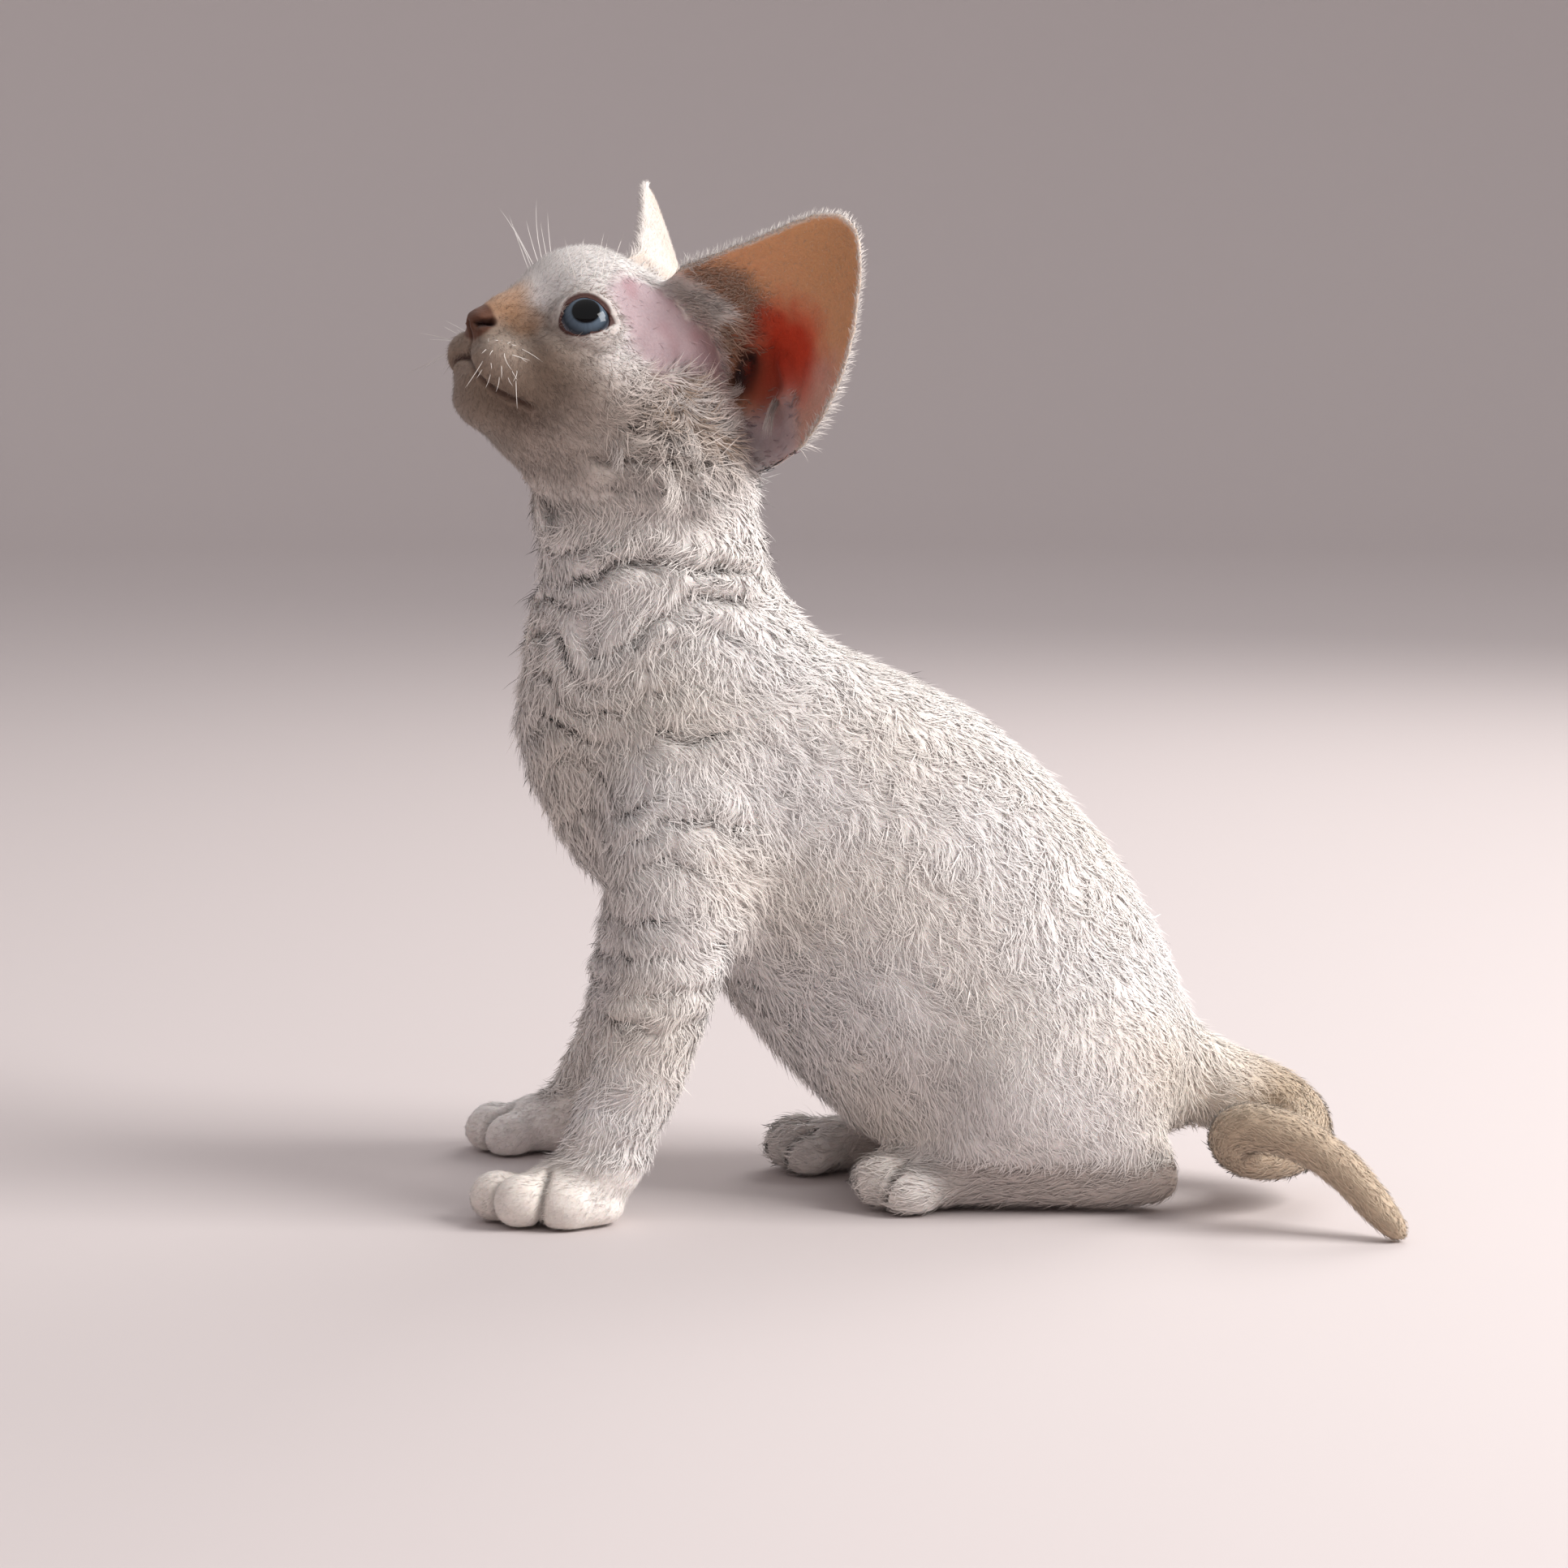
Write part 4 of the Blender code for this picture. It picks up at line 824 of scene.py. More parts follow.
def colours_and_painted_light(p, flat, owner, inner):
    """Colour of the coat or skin at a point, painted shade and painted glow of light through the ear
    included, and how bare it is. inner is 1 inside the ear's cup.
    """
    f = folded(flat)
    base = np.tile(WHITE, (len(p), 1))
    mottle = noise(p, 22, 11)
    base = blend(base, CREAM, clamp(0.25 + 0.3 * mottle) * 0.6)
    rump = step(52, 80, p[:, 0]) * step(60, 35, p[:, 2])
    base = blend(base, CREAM, 0.5 * rump)
    run = along(p, TAIL)[0]
    base = blend(base, TAIL_CREAM, is_on(owner, *TAIL_NODES) * step(14, 40, run) * 0.85)
    on = is_on(owner, "head", *EARS)
    # The throat and chin are grey-beige, partly their own tone and partly painted shade under the head.
    base = blend(base, THROAT_TONE_AND_SHADE, on * step(6, -12, f[:, 2]) * step(-30, 5, f[:, 0]) * 0.75)
    base = patched(base, f, on, JAW_PATCHES)
    # Under the curled locks below the ear, the skin and coat are darker brown: partly their own tone, partly
    # painted shade between the locks.
    ruff_tone_and_shade = on * ball_at(f, RUFF_AT, (17, 12, 13), 0.4)
    base = blend(base, RUFF_TONE_AND_SHADE, ruff_tone_and_shade * clamp(0.55 + 0.5 * noise(p, 5, 35)))
    base = patched(base, f, on, CROWN_PATCHES)
    backs = is_on(owner, *EARS) * (1 - inner)
    base = blend(base, EAR_BACK, backs * clamp(0.62 + 0.16 * noise(f, 14, 38)))
    base = base * (1 - 0.10 * on * clamp(noise(p, 6, 36)))[:, None]
    base = patched(base, f, on, NOSE_PATCHES)
    near_eye = ball_at(f, EYE_AT, (10, 10, 9), 0.25)
    # Brownish round the eye, in the muzzle tone that holds painted shade.
    base = blend(base, MUZZLE_TONE_AND_SHADE * 0.8, on * near_eye * 0.45)
    f = f + np.stack([noise(p, 7, k) * 1.2 + noise(p, 2.2, k + 10) * 0.8 for k in (31, 32, 33)], axis=1)
    temple = sum(ball_at(f, centre, size, 0.3) for centre, size in BALD_SPOTS)
    bald = on * clamp(temple) * (1 - near_eye)
    below_ear = on * ball_at(f, (-41, 27, 3), (8, 13, 8), 0.4)
    skin_tone = BALD * (1 - 0.07 * np.clip(noise(p, 3.5, 61), -1, 1))[:, None]
    base = base * (1 - 0.95 * bald[:, None]) + skin_tone * 0.95 * bald[:, None]
    base = blend(base, BALD_RED, bald * clamp(noise(p, 5, 62) - 0.35) * 0.5)
    base = blend(base, BALD_SHADE, bald * step(-14, -27, f[:, 0]) * 0.5)
    base = blend(base, BALD, below_ear * 0.7 * (1 - inner))
    height = (f - np.array(EAR_BASE)) @ np.array(EAR_AXIS)
    cup = inner * on
    # The cup is orange, partly its own skin tone and partly painted glow of light through the ear.
    base = blend(base, EAR_ORANGE_AND_GLOW, cup * 0.92)
    base = blend(base, TAN * 1.5, cup * step(16, 44, height) * 0.7)
    base = patched(base, f, cup, CUP_PATCHES)
    return base, clamp(bald + 0.8 * below_ear)


flat = local(points)
facing = facing_cup(normals, flat)
fold = folded(flat)
ear_height = (fold - np.array(EAR_BASE)) @ np.array(EAR_AXIS)
cup_zone = (is_on(owner, *EARS) > 0) | (ball_at(fold, (-32, 18, 15), (12, 12, 12), 0.2) > 0.5)
inner = relax(((facing > 0.12) & cup_zone).astype(float), edges, 3)
# The skin's colour, with painted shade and the painted glow in the ear, and the coat's, which is paler inside
# the ear and at its edge.
tint, bare = colours_and_painted_light(points, flat, owner, inner)
tint = relax(tint, edges, 60, 0.5, neckline)
tint = relax(tint, edges, 14, 0.5, ball_at(fold, (-39, 27, 7), (11, 13, 15), 0.3))
# Where the glow of light through the ear is painted.
painted_glow_zone = inner * ball_at(fold, (-34, 25, 19), (10, 12, 14), 0.4)
fur_tint = blend(tint, CREAM * 0.92, clamp(inner) * 0.42 * (1 - painted_glow_zone))
fur_tint = blend(fur_tint, BALD * 1.12, clamp(bare * 1.5))
thin_edge = length_of(relax(normals, edges, 8))
rim_band = step(0.95, 0.80, thin_edge) * is_on(owner, *EARS)
tint = blend(tint, EAR_EDGE, rim_band * 0.85)
fur_tint = blend(fur_tint, EAR_EDGE_FUR, rim_band)
# Nose leather, lids and lips, and painted shade: darker in the creases, the hollows and the grooves between
# the waves.
lid_zone, lid, lid_fur = np.zeros((3, len(points)))
for side in (1, -1):
    out, edge, rise = eye_place(points, side)[:3]
    far_out, close = (step(EYE_RADIUS + 3 + k, EYE_RADIUS + k, out) for k in (4, 3))
    lid_zone = np.maximum(lid_zone, step(LID_REACH, 1.7, edge) * far_out)
    above = step(-0.2, 0.7, rise)
    lid = np.maximum(lid, step(1.17 + 0.16 * above, 1.08 + 0.1 * above, edge) * close)
    lid_fur = np.maximum(lid_fur, step(1.35 + 0.5 * above, 1.05 + 0.1 * above, edge) * close)
leather = ball_at(fold, (32, 1, -6.2), (6.0, 5.6, 5.0), 0.12)
tint = blend(tint, LEATHER, leather)
# Painted shade where the skin dips in, less on the flank, and in the creases between the toes and at the
# foot.
painted_hollow_shade = np.sum((relax(smooth_points, edges, 5) - smooth_points) * normals, axis=1)
flank_zone = is_on(owner, "torso", *HIND_LEGS) * (1 - step(FLANK_START, FRONT_END, points[:, 0]))
painted_hollow_shade = clamp(relax(painted_hollow_shade, edges, 2) / 0.35) * (1 - lid_zone) * (1 - 0.85 * flank_zone)
painted_hollow_shade = np.maximum(painted_hollow_shade, 0.9 * toe_crease)
foot_shade = step(15.5, 12.0, points[:, 2]) * step(6, 16, near_leg_x(points))
foot_shade = relax(is_on(owner, *HIND_LEGS) * foot_shade, edges, 3)
tint = blend(tint, FOOT_SHADE, 0.5 * foot_shade)
fur_tint = blend(fur_tint, FOOT_SHADE, 0.5 * foot_shade)
painted_hollow_shade = np.maximum(painted_hollow_shade, 0.8 * foot_crease)
tint = tint * (1 - 0.5 * painted_hollow_shade)[:, None]
fur_tint = fur_tint * (1 - 0.36 * painted_hollow_shade)[:, None]
# Painted shade in the nostrils.
tint = blend(tint, PAINTED_HOLE_SHADE, np.exp(-((nostril_gap / 0.95) ** 2)))
tint = blend(tint, RIM, 0.85 * np.exp(-((mouth_gap / 0.8) ** 2)) * step(11, 15, flat[:, 0]))
tint = blend(tint, RIM, 0.7 * np.exp(-((philtrum_gap / 0.6) ** 2)))
tint = blend(tint, RIM, lid)
fur_tint = blend(fur_tint, LID_FUR, lid_fur * 0.75)
# Painted shade in the grooves between the waves.
painted_groove_shade = clamp((WAVE_LEVEL - high) * amount * 2.2)
tint = tint * (1 - 0.30 * painted_groove_shade)[:, None]
fur_tint = fur_tint * (1 - 0.34 * painted_groove_shade)[:, None]


def chart_of(points, faces, owner):
    """One chart for each part of the body and each of the six ways that its surface may face."""
    a, b, c = (points[faces[:, k]] for k in range(3))
    n = unit(np.cross(b - a, c - a))
    axis = np.abs(n).argmax(1)
    sign = n[np.arange(len(n)), axis] > 0
    return owner[faces[:, 0]] * 6 + axis * 2 + sign


def pack_charts(points, faces, chart):
    """Places every chart's flat outline on shelves in the unit square."""
    boxes = {}
    for c in np.unique(chart):
        axis = (c % 6) // 2
        keep = [k for k in range(3) if k != axis]
        p = points[faces[chart == c].ravel()][:, keep]
        boxes[c] = (p.min(0), p.max(0) - p.min(0) + 1.0, keep)
    order = sorted(boxes, key=lambda c: (-boxes[c][1][1], c))
    scale = 1.0 / 150
    while True:
        x = y = shelf = 0.0
        place = {}
        for c in order:
            w, h = boxes[c][1] * scale
            if x + w > 1.0:
                x, y, shelf = 0.0, y + shelf, 0.0
            shelf = max(shelf, h)
            place[c] = (x, y)
            x += w
        if y + shelf <= 1.0:
            return {c: (boxes[c][0], boxes[c][2], np.array(place[c]), scale) for c in order}
        scale *= 0.97


chart = chart_of(points, skin_faces, owner)
charts = pack_charts(points, skin_faces, chart)


def unwrap(p, chart):
    uv = np.zeros((len(p), 2))
    for c, (low, keep, place, scale) in charts.items():
        at = chart == c
        if at.any():
            uv[at] = place + (p[at][:, keep] - low + 0.5) * scale
    return uv


def new_object(name, verts_mm, loops, starts, totals, uv, colour):
    mesh = bpy.data.meshes.new(name)
    mesh.vertices.add(len(verts_mm))
    mesh.vertices.foreach_set("co", to_part(verts_mm).astype(np.float32).ravel())
    mesh.loops.add(len(loops))
    mesh.loops.foreach_set("vertex_index", loops.astype(np.int32))
    mesh.polygons.add(len(starts))
    mesh.polygons.foreach_set("loop_start", starts.astype(np.int32))
    mesh.polygons.foreach_set("loop_total", totals.astype(np.int32))
    mesh.update(calc_edges=True)
    mesh.polygons.foreach_set("use_smooth", np.full(len(starts), True))
    if uv is not None:
        layer = mesh.uv_layers.new(name="OFBake")
        layer.data.foreach_set("uv", uv.astype(np.float32).ravel())
    attribute = mesh.color_attributes.new("Tint", "FLOAT_COLOR", "POINT")
    rgba = np.concatenate([colour, np.ones((len(colour), 1))], axis=1)
    attribute.data.foreach_set("color", rgba.astype(np.float32).ravel())
    return placed(name, mesh)


def faces_to_loops(faces):
    """Loops, starts and totals of quads, where a triangle repeats its last corner."""
    triangle = faces[:, 2] == faces[:, 3]
    totals = np.where(triangle, 3, 4)
    keep = np.ones(faces.shape, bool)
    keep[triangle, 3] = False
    loops = faces[keep]
    starts = np.concatenate([[0], np.cumsum(totals)[:-1]])
    return loops, starts, totals, keep


loops, starts, totals, keep = faces_to_loops(skin_faces)
corner_chart = np.repeat(chart[:, None], 4, 1)[keep]
skin = new_object("skin", points, loops, starts, totals, unwrap(points[loops], corner_chart), tint)


def nodes_of(material):
    material.use_nodes = True
    return material.node_tree.nodes, material.node_tree.links


def fill(node, values):
    """Sets sockets of a node to constants."""
    for name, value in values.items():
        node.inputs[name].default_value = value


# Where the fine specks of the coat are darkest and lightest.
SPECKS = ((0.30, (0.89, 0.875, 0.87, 1)), (0.68, (1, 1, 1, 1)))


def coat_material(name, rough, grain, bump, sheen, subsurface=0.0):
    """The tint held by each vertex, broken up by fine specks."""
    material = bpy.data.materials.new(name)
    nodes, links = nodes_of(material)
    shader = nodes["Principled BSDF"]
    tint = nodes.new("ShaderNodeAttribute")
    tint.attribute_name = "Tint"
    place = nodes.new("ShaderNodeTexCoord")
    speck = nodes.new("ShaderNodeTexNoise")
    fill(speck, {"Scale": grain, "Detail": 5.0, "Roughness": 0.62})
    links.new(place.outputs["Object"], speck.inputs["Vector"])
    ramp = nodes.new("ShaderNodeValToRGB")
    for stop, (at, shade) in zip(ramp.color_ramp.elements, SPECKS):
        stop.position, stop.color = at, shade
    links.new(speck.outputs["Fac"], ramp.inputs["Fac"])
    mix = nodes.new("ShaderNodeMix")
    mix.data_type = "RGBA"
    mix.blend_type = "MULTIPLY"
    fill(mix, {"Factor": 1.0})
    links.new(tint.outputs["Color"], mix.inputs["A"])
    links.new(ramp.outputs["Color"], mix.inputs["B"])
    links.new(mix.outputs["Result"], shader.inputs["Base Color"])
    fill(shader, {"Roughness": rough, "Sheen Weight": sheen, "Sheen Roughness": 0.5,
                  "Specular IOR Level": 0.25})
    if subsurface:
        fill(shader, {"Subsurface Weight": subsurface, "Subsurface Radius": (1.0, 0.45, 0.3),
                      "Subsurface Scale": 0.0015})
    if bump:
        raised = nodes.new("ShaderNodeBump")
        fill(raised, {"Strength": bump, "Distance": 0.0004})
        links.new(speck.outputs["Fac"], raised.inputs["Height"])
        links.new(raised.outputs["Normal"], shader.inputs["Normal"])
    return material


FUR = coat_material("coat_hair", 0.62, 900.0, 0.0, 0.3)
skin.data.materials.append(coat_material("skin_bare", 0.55, 1400.0, 0.35, 0.1, 0.15))
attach(skin, "root")
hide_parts(*FLESH)

skin_rows = [row[:3] if row[2] == row[3] else row for row in skin_faces.tolist()]
skin_tree = BVHTree.FromPolygons(points.tolist(), skin_rows)


def triangles_of(faces):
    """The skin's faces as triangles, and the face that each comes from."""
    first = faces[:, [0, 1, 2]]
    second = faces[:, [0, 2, 3]][faces[:, 2] != faces[:, 3]]
    index = np.concatenate([np.arange(len(faces)), np.nonzero(faces[:, 2] != faces[:, 3])[0]])
    return np.concatenate([first, second]), index


TRIS, TRI_FACE = triangles_of(skin_faces)
corner = [points[TRIS[:, k]] for k in range(3)]
TRI_AREA = length_of(np.cross(corner[1] - corner[0], corner[2] - corner[0])) / 2


def sown(density):
    """Roots spread evenly over the skin, density at each vertex in tufts for each square millimetre."""
    each = TRI_AREA * density[TRIS].mean(1)
    order = np.argsort(owner[TRIS[:, 0]], kind="stable")
    run = np.cumsum(each[order])
    count = int(run[-1])
    at = (np.arange(count) + rng.random(count)) * run[-1] / count
    tri = order[np.minimum(np.searchsorted(run, at), len(order) - 1)]
    a, b = rng.random((2, count))
    over = a + b > 1
    a[over], b[over] = 1 - a[over], 1 - b[over]
    weights = np.stack([1 - a - b, a, b], axis=1)
    return tri, weights


def mixed(values, tri, weights):
    """Values at the vertices blended to places on triangles."""
    if values.ndim == 1:
        return np.sum(values[TRIS[tri]] * weights, axis=1)
    return np.sum(values[TRIS[tri]] * weights[:, :, None], axis=1)


def tree_of(spots):
    tree = KDTree(len(spots))
    for i, spot in enumerate(spots.tolist()):
        tree.insert(spot, i)
    tree.balance()
    return tree


def nearest_in(tree, spots):
    return np.array([tree.find(p)[1] for p in spots.tolist()])


def hugging(guess, height):
    """Points brought to a height over the skin."""
    out = np.empty_like(guess)
    up = np.empty_like(guess)
    for i, p in enumerate(guess.tolist()):
        place, normal, _, _ = skin_tree.find_nearest(p)
        out[i] = place
        up[i] = normal
    return out + up * height[:, None], up


def tuft_mesh(name, rings, ups, widths, colours, root_shade_tip_light, uv_root, thick=0.16, lean=0.6, shade_up=None):
    """Closed, flat, tapered tufts: rings is a list of centre arrays, the last of which is the tip."""
    count = len(rings[0])
    spans = len(rings) - 1
    verts = np.empty((count, spans * 3 + 1, 3))
    shading = np.empty((count, spans * 3 + 1, 3))
    shading[:, -1] = ups[-1] if shade_up is None else shade_up
    for k in range(spans):
        ahead = unit(rings[k + 1] - rings[max(k - 1, 0)])
        side = unit(np.cross(ups[k], ahead))
        up = np.cross(ahead, side)
        half = widths[k][:, None] / 2
        verts[:, 3 * k] = rings[k] - side * half
        verts[:, 3 * k + 1] = rings[k] + side * half
        verts[:, 3 * k + 2] = rings[k] + up * half * 2 * thick
        facing_up = ups[k] if shade_up is None else shade_up
        shading[:, 3 * k] = unit(facing_up - side * lean)
        shading[:, 3 * k + 1] = unit(facing_up + side * lean)
        shading[:, 3 * k + 2] = unit(facing_up - ahead * 0.2)
    verts[:, -1] = rings[-1]
    verts[:, :, 2] = np.maximum(verts[:, :, 2], FLOOR_CLEAR + 0.03 * rng.random((count, 1)))
    shape = [(0, 1, 2)]
    for k in range(spans - 1):
        a, b = 3 * k, 3 * k + 3
        for i, j in ((0, 2), (2, 1), (1, 0)):
            shape += [(a + i, a + j, b + j), (a + i, b + j, b + i)]
    a = 3 * (spans - 1)
    shape += [(a, a + 2, 3 * spans), (a + 2, a + 1, 3 * spans), (a + 1, a, 3 * spans)]
    shape = np.array(shape)[:, ::-1]
    per = spans * 3 + 1
    faces = (shape[None] + (np.arange(count) * per)[:, None, None]).reshape(-1, 3)
    # Painted shade at the roots and painted light at the tips of each tuft.
    shade = np.empty((count, per))
    u = np.empty((count, per, 2))
    for k in range(spans):
        shade[:, 3 * k:3 * k + 3] = root_shade_tip_light[k]
        for i, across in enumerate((-1, 1, 0)):
            u[:, 3 * k + i] = (across * PATCH_HALF_WIDTH, (k / spans - 0.5) * PATCH_LENGTH)
    shade[:, -1] = root_shade_tip_light[-1]
    u[:, -1] = (0.0, PATCH_LENGTH / 2)
    u += uv_root[:, None]
    colour = colours[:, None, :] * shade[:, :, None]
    loops = faces.ravel()
    starts = np.arange(len(faces)) * 3
    piece = new_object(name, verts.reshape(-1, 3), loops, starts, np.full(len(faces), 3),
                       u.reshape(-1, 2)[loops], colour.reshape(-1, 3))
    piece.data.normals_split_custom_set_from_vertices(shading.reshape(-1, 3))
    piece.data.materials.append(FUR)
    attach(piece, "root")


# Where the coat is thin or missing, and where it is tousled.
no_fur = clamp(leather * 1.5 + lid * 1.2 + np.exp(-((nostril_gap / 1.5) ** 2)))
density = density_map * (1 - no_fur)
density *= 1 - 0.97 * clamp(bare * 1.3)
ear_wall = inner * ball_at(fold, EAR_WALL_AT, (17, 10, 15), 0.35)
density *= 1 - 0.7 * clamp(inner * 1.3) * step(-20, 5, ear_height) * (1 - ear_wall)
# Fewer tufts where the glow of light through the ear is painted.
density *= 1 - 0.85 * painted_glow_zone
canal = ball_at(fold, (-33.5, 16, 13), (5.5, 5, 8), 0.4)
density *= 1 - canal
fur_tint = blend(fur_tint, EAR_BROWN, canal)
ruff = ball_at(fold, RUFF_AT, (19, 14, 16), 0.4) * (1 - inner)
ruff = np.maximum(ruff, ball_at(fold, (-42, 8, -10), (10, 16, 16), 0.5)) * (1 - clamp(bare * 1.3))
density *= 1 - 0.9 * np.exp(-((mouth_gap / 0.9) ** 2)) * step(11, 15, flat[:, 0])
density *= 1 - 0.8 * np.exp(-((philtrum_gap / 0.8) ** 2))


def grow(label, chosen, spans, clump=0.0, lift=(0.25, 0.55, 0.75), wild=0.18, grain=0.08):
    """One kind of tuft on the chosen vertices."""
    tri, weights = sown(density * chosen)
    root = mixed(points, tri, weights)
    up = unit(mixed(normals, tri, weights))
    way = laid_flat(mixed(lie, tri, weights), up)
    across = np.cross(up, way)
    count = len(root)
    tousled = mixed(ruff, tri, weights)
    long = mixed(length_map, tri, weights) * rng.uniform(0.75, 1.2, count) * (1 + 0.8 * tousled)
    wide = mixed(width_map, tri, weights) * rng.uniform(0.8, 1.25, count)
    colour = mixed(fur_tint, tri, weights) * np.clip(rng.normal(0.985, grain, count), 0.7, 1.16)[:, None]
    swirl = 0.55 * noise(root, 6.5, 21) + 0.35 * noise(root, 16, 22)
    curl = mixed(wave_map, tri, weights)
    turn = swirl * (0.3 + 0.5 * curl + 1.1 * tousled) + 0.75 * curl * mixed(swing, tri, weights)
    turn += rng.normal(0, wild, count) * (1 + 1.2 * tousled)
    bend = rng.normal(0, 0.4, count) + (0.9 * curl + 1.6 * tousled) * noise(root, 5, 23)
    loft = rng.uniform(0.35, 1.6, count) ** 1.3 * (1 + 1.3 * tousled)
    loft[rng.random(count) < STRAY_SHARE] *= STRAY_LOFT
    rings, ups = [root - up * ROOT_SINK], [up]
    place = root
    picks = rng.permutation(count)[:max(1, count // TUFTS_IN_CLUMP)]
    mate = picks[nearest_in(tree_of(root[picks]), root)]
    ends = []
    for k in range(1, spans + 1):
        t = k / spans
        here = turn + bend * t
        heading = way * np.cos(here)[:, None] + across * np.sin(here)[:, None]
        place = place + heading * (long / spans)[:, None]
        ends.append(place)
    for k, place in enumerate(ends, 1):
        t = k / spans
        pull = clump * t**1.5
        guess = place * (1 - pull) + (place[mate] * 0.8 + place * 0.2) * pull
        stand = np.interp(t, np.linspace(0, 1, len(lift) + 1), (0.0, *lift))
        height = stand * loft * np.clip(long / 6, 0.45, 1.3)
        spot, normal = hugging(guess, height)
        rings.append(spot)
        ups.append(normal)
    widths = [wide * w for w in np.interp(np.arange(spans) / spans, (0, 0.35, 1), (0.85, 1.0, 0.35))]
    # Each tuft is darker at its root, painted shade, and lighter at its tip, painted light.
    root_shade_tip_light = np.interp(np.arange(spans + 1) / spans, (0, 0.5, 1), (0.78, 0.98, 1.06))
    uv = unwrap(root, chart[TRI_FACE[tri]])
    per_tuft = 6 * (spans - 1) + 4
    most = TRIANGLES_LIMIT // per_tuft
    for number, first in enumerate(range(0, count, most), 1):
        part = slice(first, first + most)
        tuft_mesh(f"coat_{label}_{number}", [r[part] for r in rings], [u[part] for u in ups],
                  [w[part] for w in widths], colour[part], root_shade_tip_light, uv[part])


def bare_tufts(label, roots, ups, ways, lengths, widths, colours, spans, droop=0.0, curl=0.0, thick=0.3,
               rise=0.0, shade_up=None):
    """Tufts and hairs that stand free of the skin."""
    count = len(roots)
    across = unit(np.cross(ups, ways))
    place = roots - ways * 0.5
    rings, frames = [place], [ups]
    curl, droop, rise = (np.broadcast_to(np.asarray(v, float), (count,)) for v in (curl, droop, rise))
    for k in range(1, spans + 1):
        t = (k - 0.5) / spans
        swing_by = (curl * t)[:, None]
        lift_by = (rise * (1 - t) - droop * t)[:, None]
        heading = unit(ways * np.cos(swing_by) + across * np.sin(swing_by) + ups * lift_by)
        place = place + heading * ((lengths + 0.5) / spans)[:, None]
        rings.append(place)
        frames.append(laid_flat(ups, heading))
    steps = np.arange(spans) / spans
    body = [widths * w for w in np.interp(steps, (0, 0.4, 1), (0.9, 0.8, 0.25))]
    # Each hair is a little darker at its root, painted shade, and lighter at its tip, painted light.
    root_shade_tip_light = np.interp(np.arange(spans + 1) / spans, (0, 1), (0.92, 1.05))
    uv = unwrap(roots, VERTEX_CHART[nearest_in(VERTEX_TREE, roots)])
    tuft_mesh(label, rings, frames, body, colours, root_shade_tip_light, uv, thick, 0.5, shade_up)


def on_skin(spot, side):
    """Root, normal and lie on the skin next to a spot given in the head's axes."""
    nearest = VERTEX_TREE.find(world(np.asarray(spot, float) * (1, side, 1)).tolist())[1]
    return points[nearest], normals[nearest], lie[nearest]


def whiskers():
    """Whisker stubs on the pads, longer ones to the sides, and the hairs over the eyes."""
    hairs = []
    for side in (1, -1):
        for row in range(4):
            for k in range(5):
                spot = (21.5 + 1.7 * k - 0.4 * row, 12.5 - 0.9 * k + 0.3 * row, -9.0 - 2.0 * row - 0.35 * k)
                root, up, way = on_skin(spot, side)
                stub = rng.random() < 0.75
                length = rng.uniform(2.2, 4.5) if stub else rng.uniform(8, 14)
                aim = unit(up * 0.75 + way * 0.65 + rng.normal(0, 0.15, 3))
                hairs.append((root, up, aim, length, rng.normal(0, 0.3), up))
        for k in range(7):
            spot = (19.5 - 1.3 * k, 12.5 + 0.5 * k, 13.0 + 0.7 * k)
            root, up, way = on_skin(spot, side)
            aim = unit(up + AXES[:, 2] * 0.5 + AXES[:, 0] * 0.25 + rng.normal(0, 0.14, 3))
            hairs.append((root, -way, aim, rng.uniform(8, 17), rng.normal(0.0, 0.35), up))
    roots, ups, ways, lengths, bends, lit = (np.array(v) for v in zip(*hairs))
    count = len(roots)
    bare_tufts("whiskers", roots, unit(ups), ways, lengths, np.full(count, 0.17),
               np.tile(WHISKER, (count, 1)), 5, curl=bends, thick=0.9,
               shade_up=unit(lit + (0.3, -0.3, 0.6)))


def fringes():
    """Fine hair that stands out along the edges of the ears."""
    thin = relax(normals, edges, 5)
    size = length_of(thin)
    rim = step(0.93, 0.82, size) * is_on(owner, *EARS)
    fine = unit(thin)
    tri, weights = sown(rim * 8.0)
    root = mixed(points, tri, weights)
    up = unit(mixed(normals, tri, weights))
    out = unit(mixed(fine, tri, weights))
    way = unit(out * 0.75 + mixed(lie, tri, weights) * 0.7 + rng.normal(0, 0.16, root.shape))
    count = len(root)
    low = np.clip(1.3 - mixed(ear_height, tri, weights) / 45.0, 0.55, 1.6)
    long = rng.uniform(1.8, 4.2, count) * low
    wide = rng.uniform(0.16, 0.26, count)
    colour = np.tile(FRINGE, (count, 1)) * rng.uniform(0.93, 1.05, count)[:, None]
    bare_tufts("ear_fringe", root, up, way, long, wide, colour, 3,
               curl=rng.normal(0, 0.4, count), shade_up=unit(out + (0.3, -0.2, 0.5)))


def lock(roots, ups, ways, count, length, width, curl, rise, spread, colour):
    """Tufts that share one curling path and draw together at the tip."""
    across = unit(np.cross(ups, ways))
    angle = rng.uniform(0, 2 * math.pi, count)
    reach = spread * np.sqrt(rng.random(count))
    offset = across * (np.cos(angle) * reach)[:, None] + ways * (np.sin(angle) * reach)[:, None]
    start = roots + offset
    meet = roots + ways * length * 0.9 + ups * rise * length * 0.5
    aim = unit(meet - start)
    lengths = length * rng.uniform(0.8, 1.1, count)
    bends = curl + rng.normal(0, 0.2, count)
    colours = np.tile(colour, (count, 1)) * rng.uniform(0.78, 1.06, count)[:, None]
    rises = rise * rng.uniform(0.6, 1.3, count)
    sunk = start - ups * 0.4
    return sunk, np.tile(ups, (count, 1)), aim, lengths, np.full(count, width), bends, colours, rises


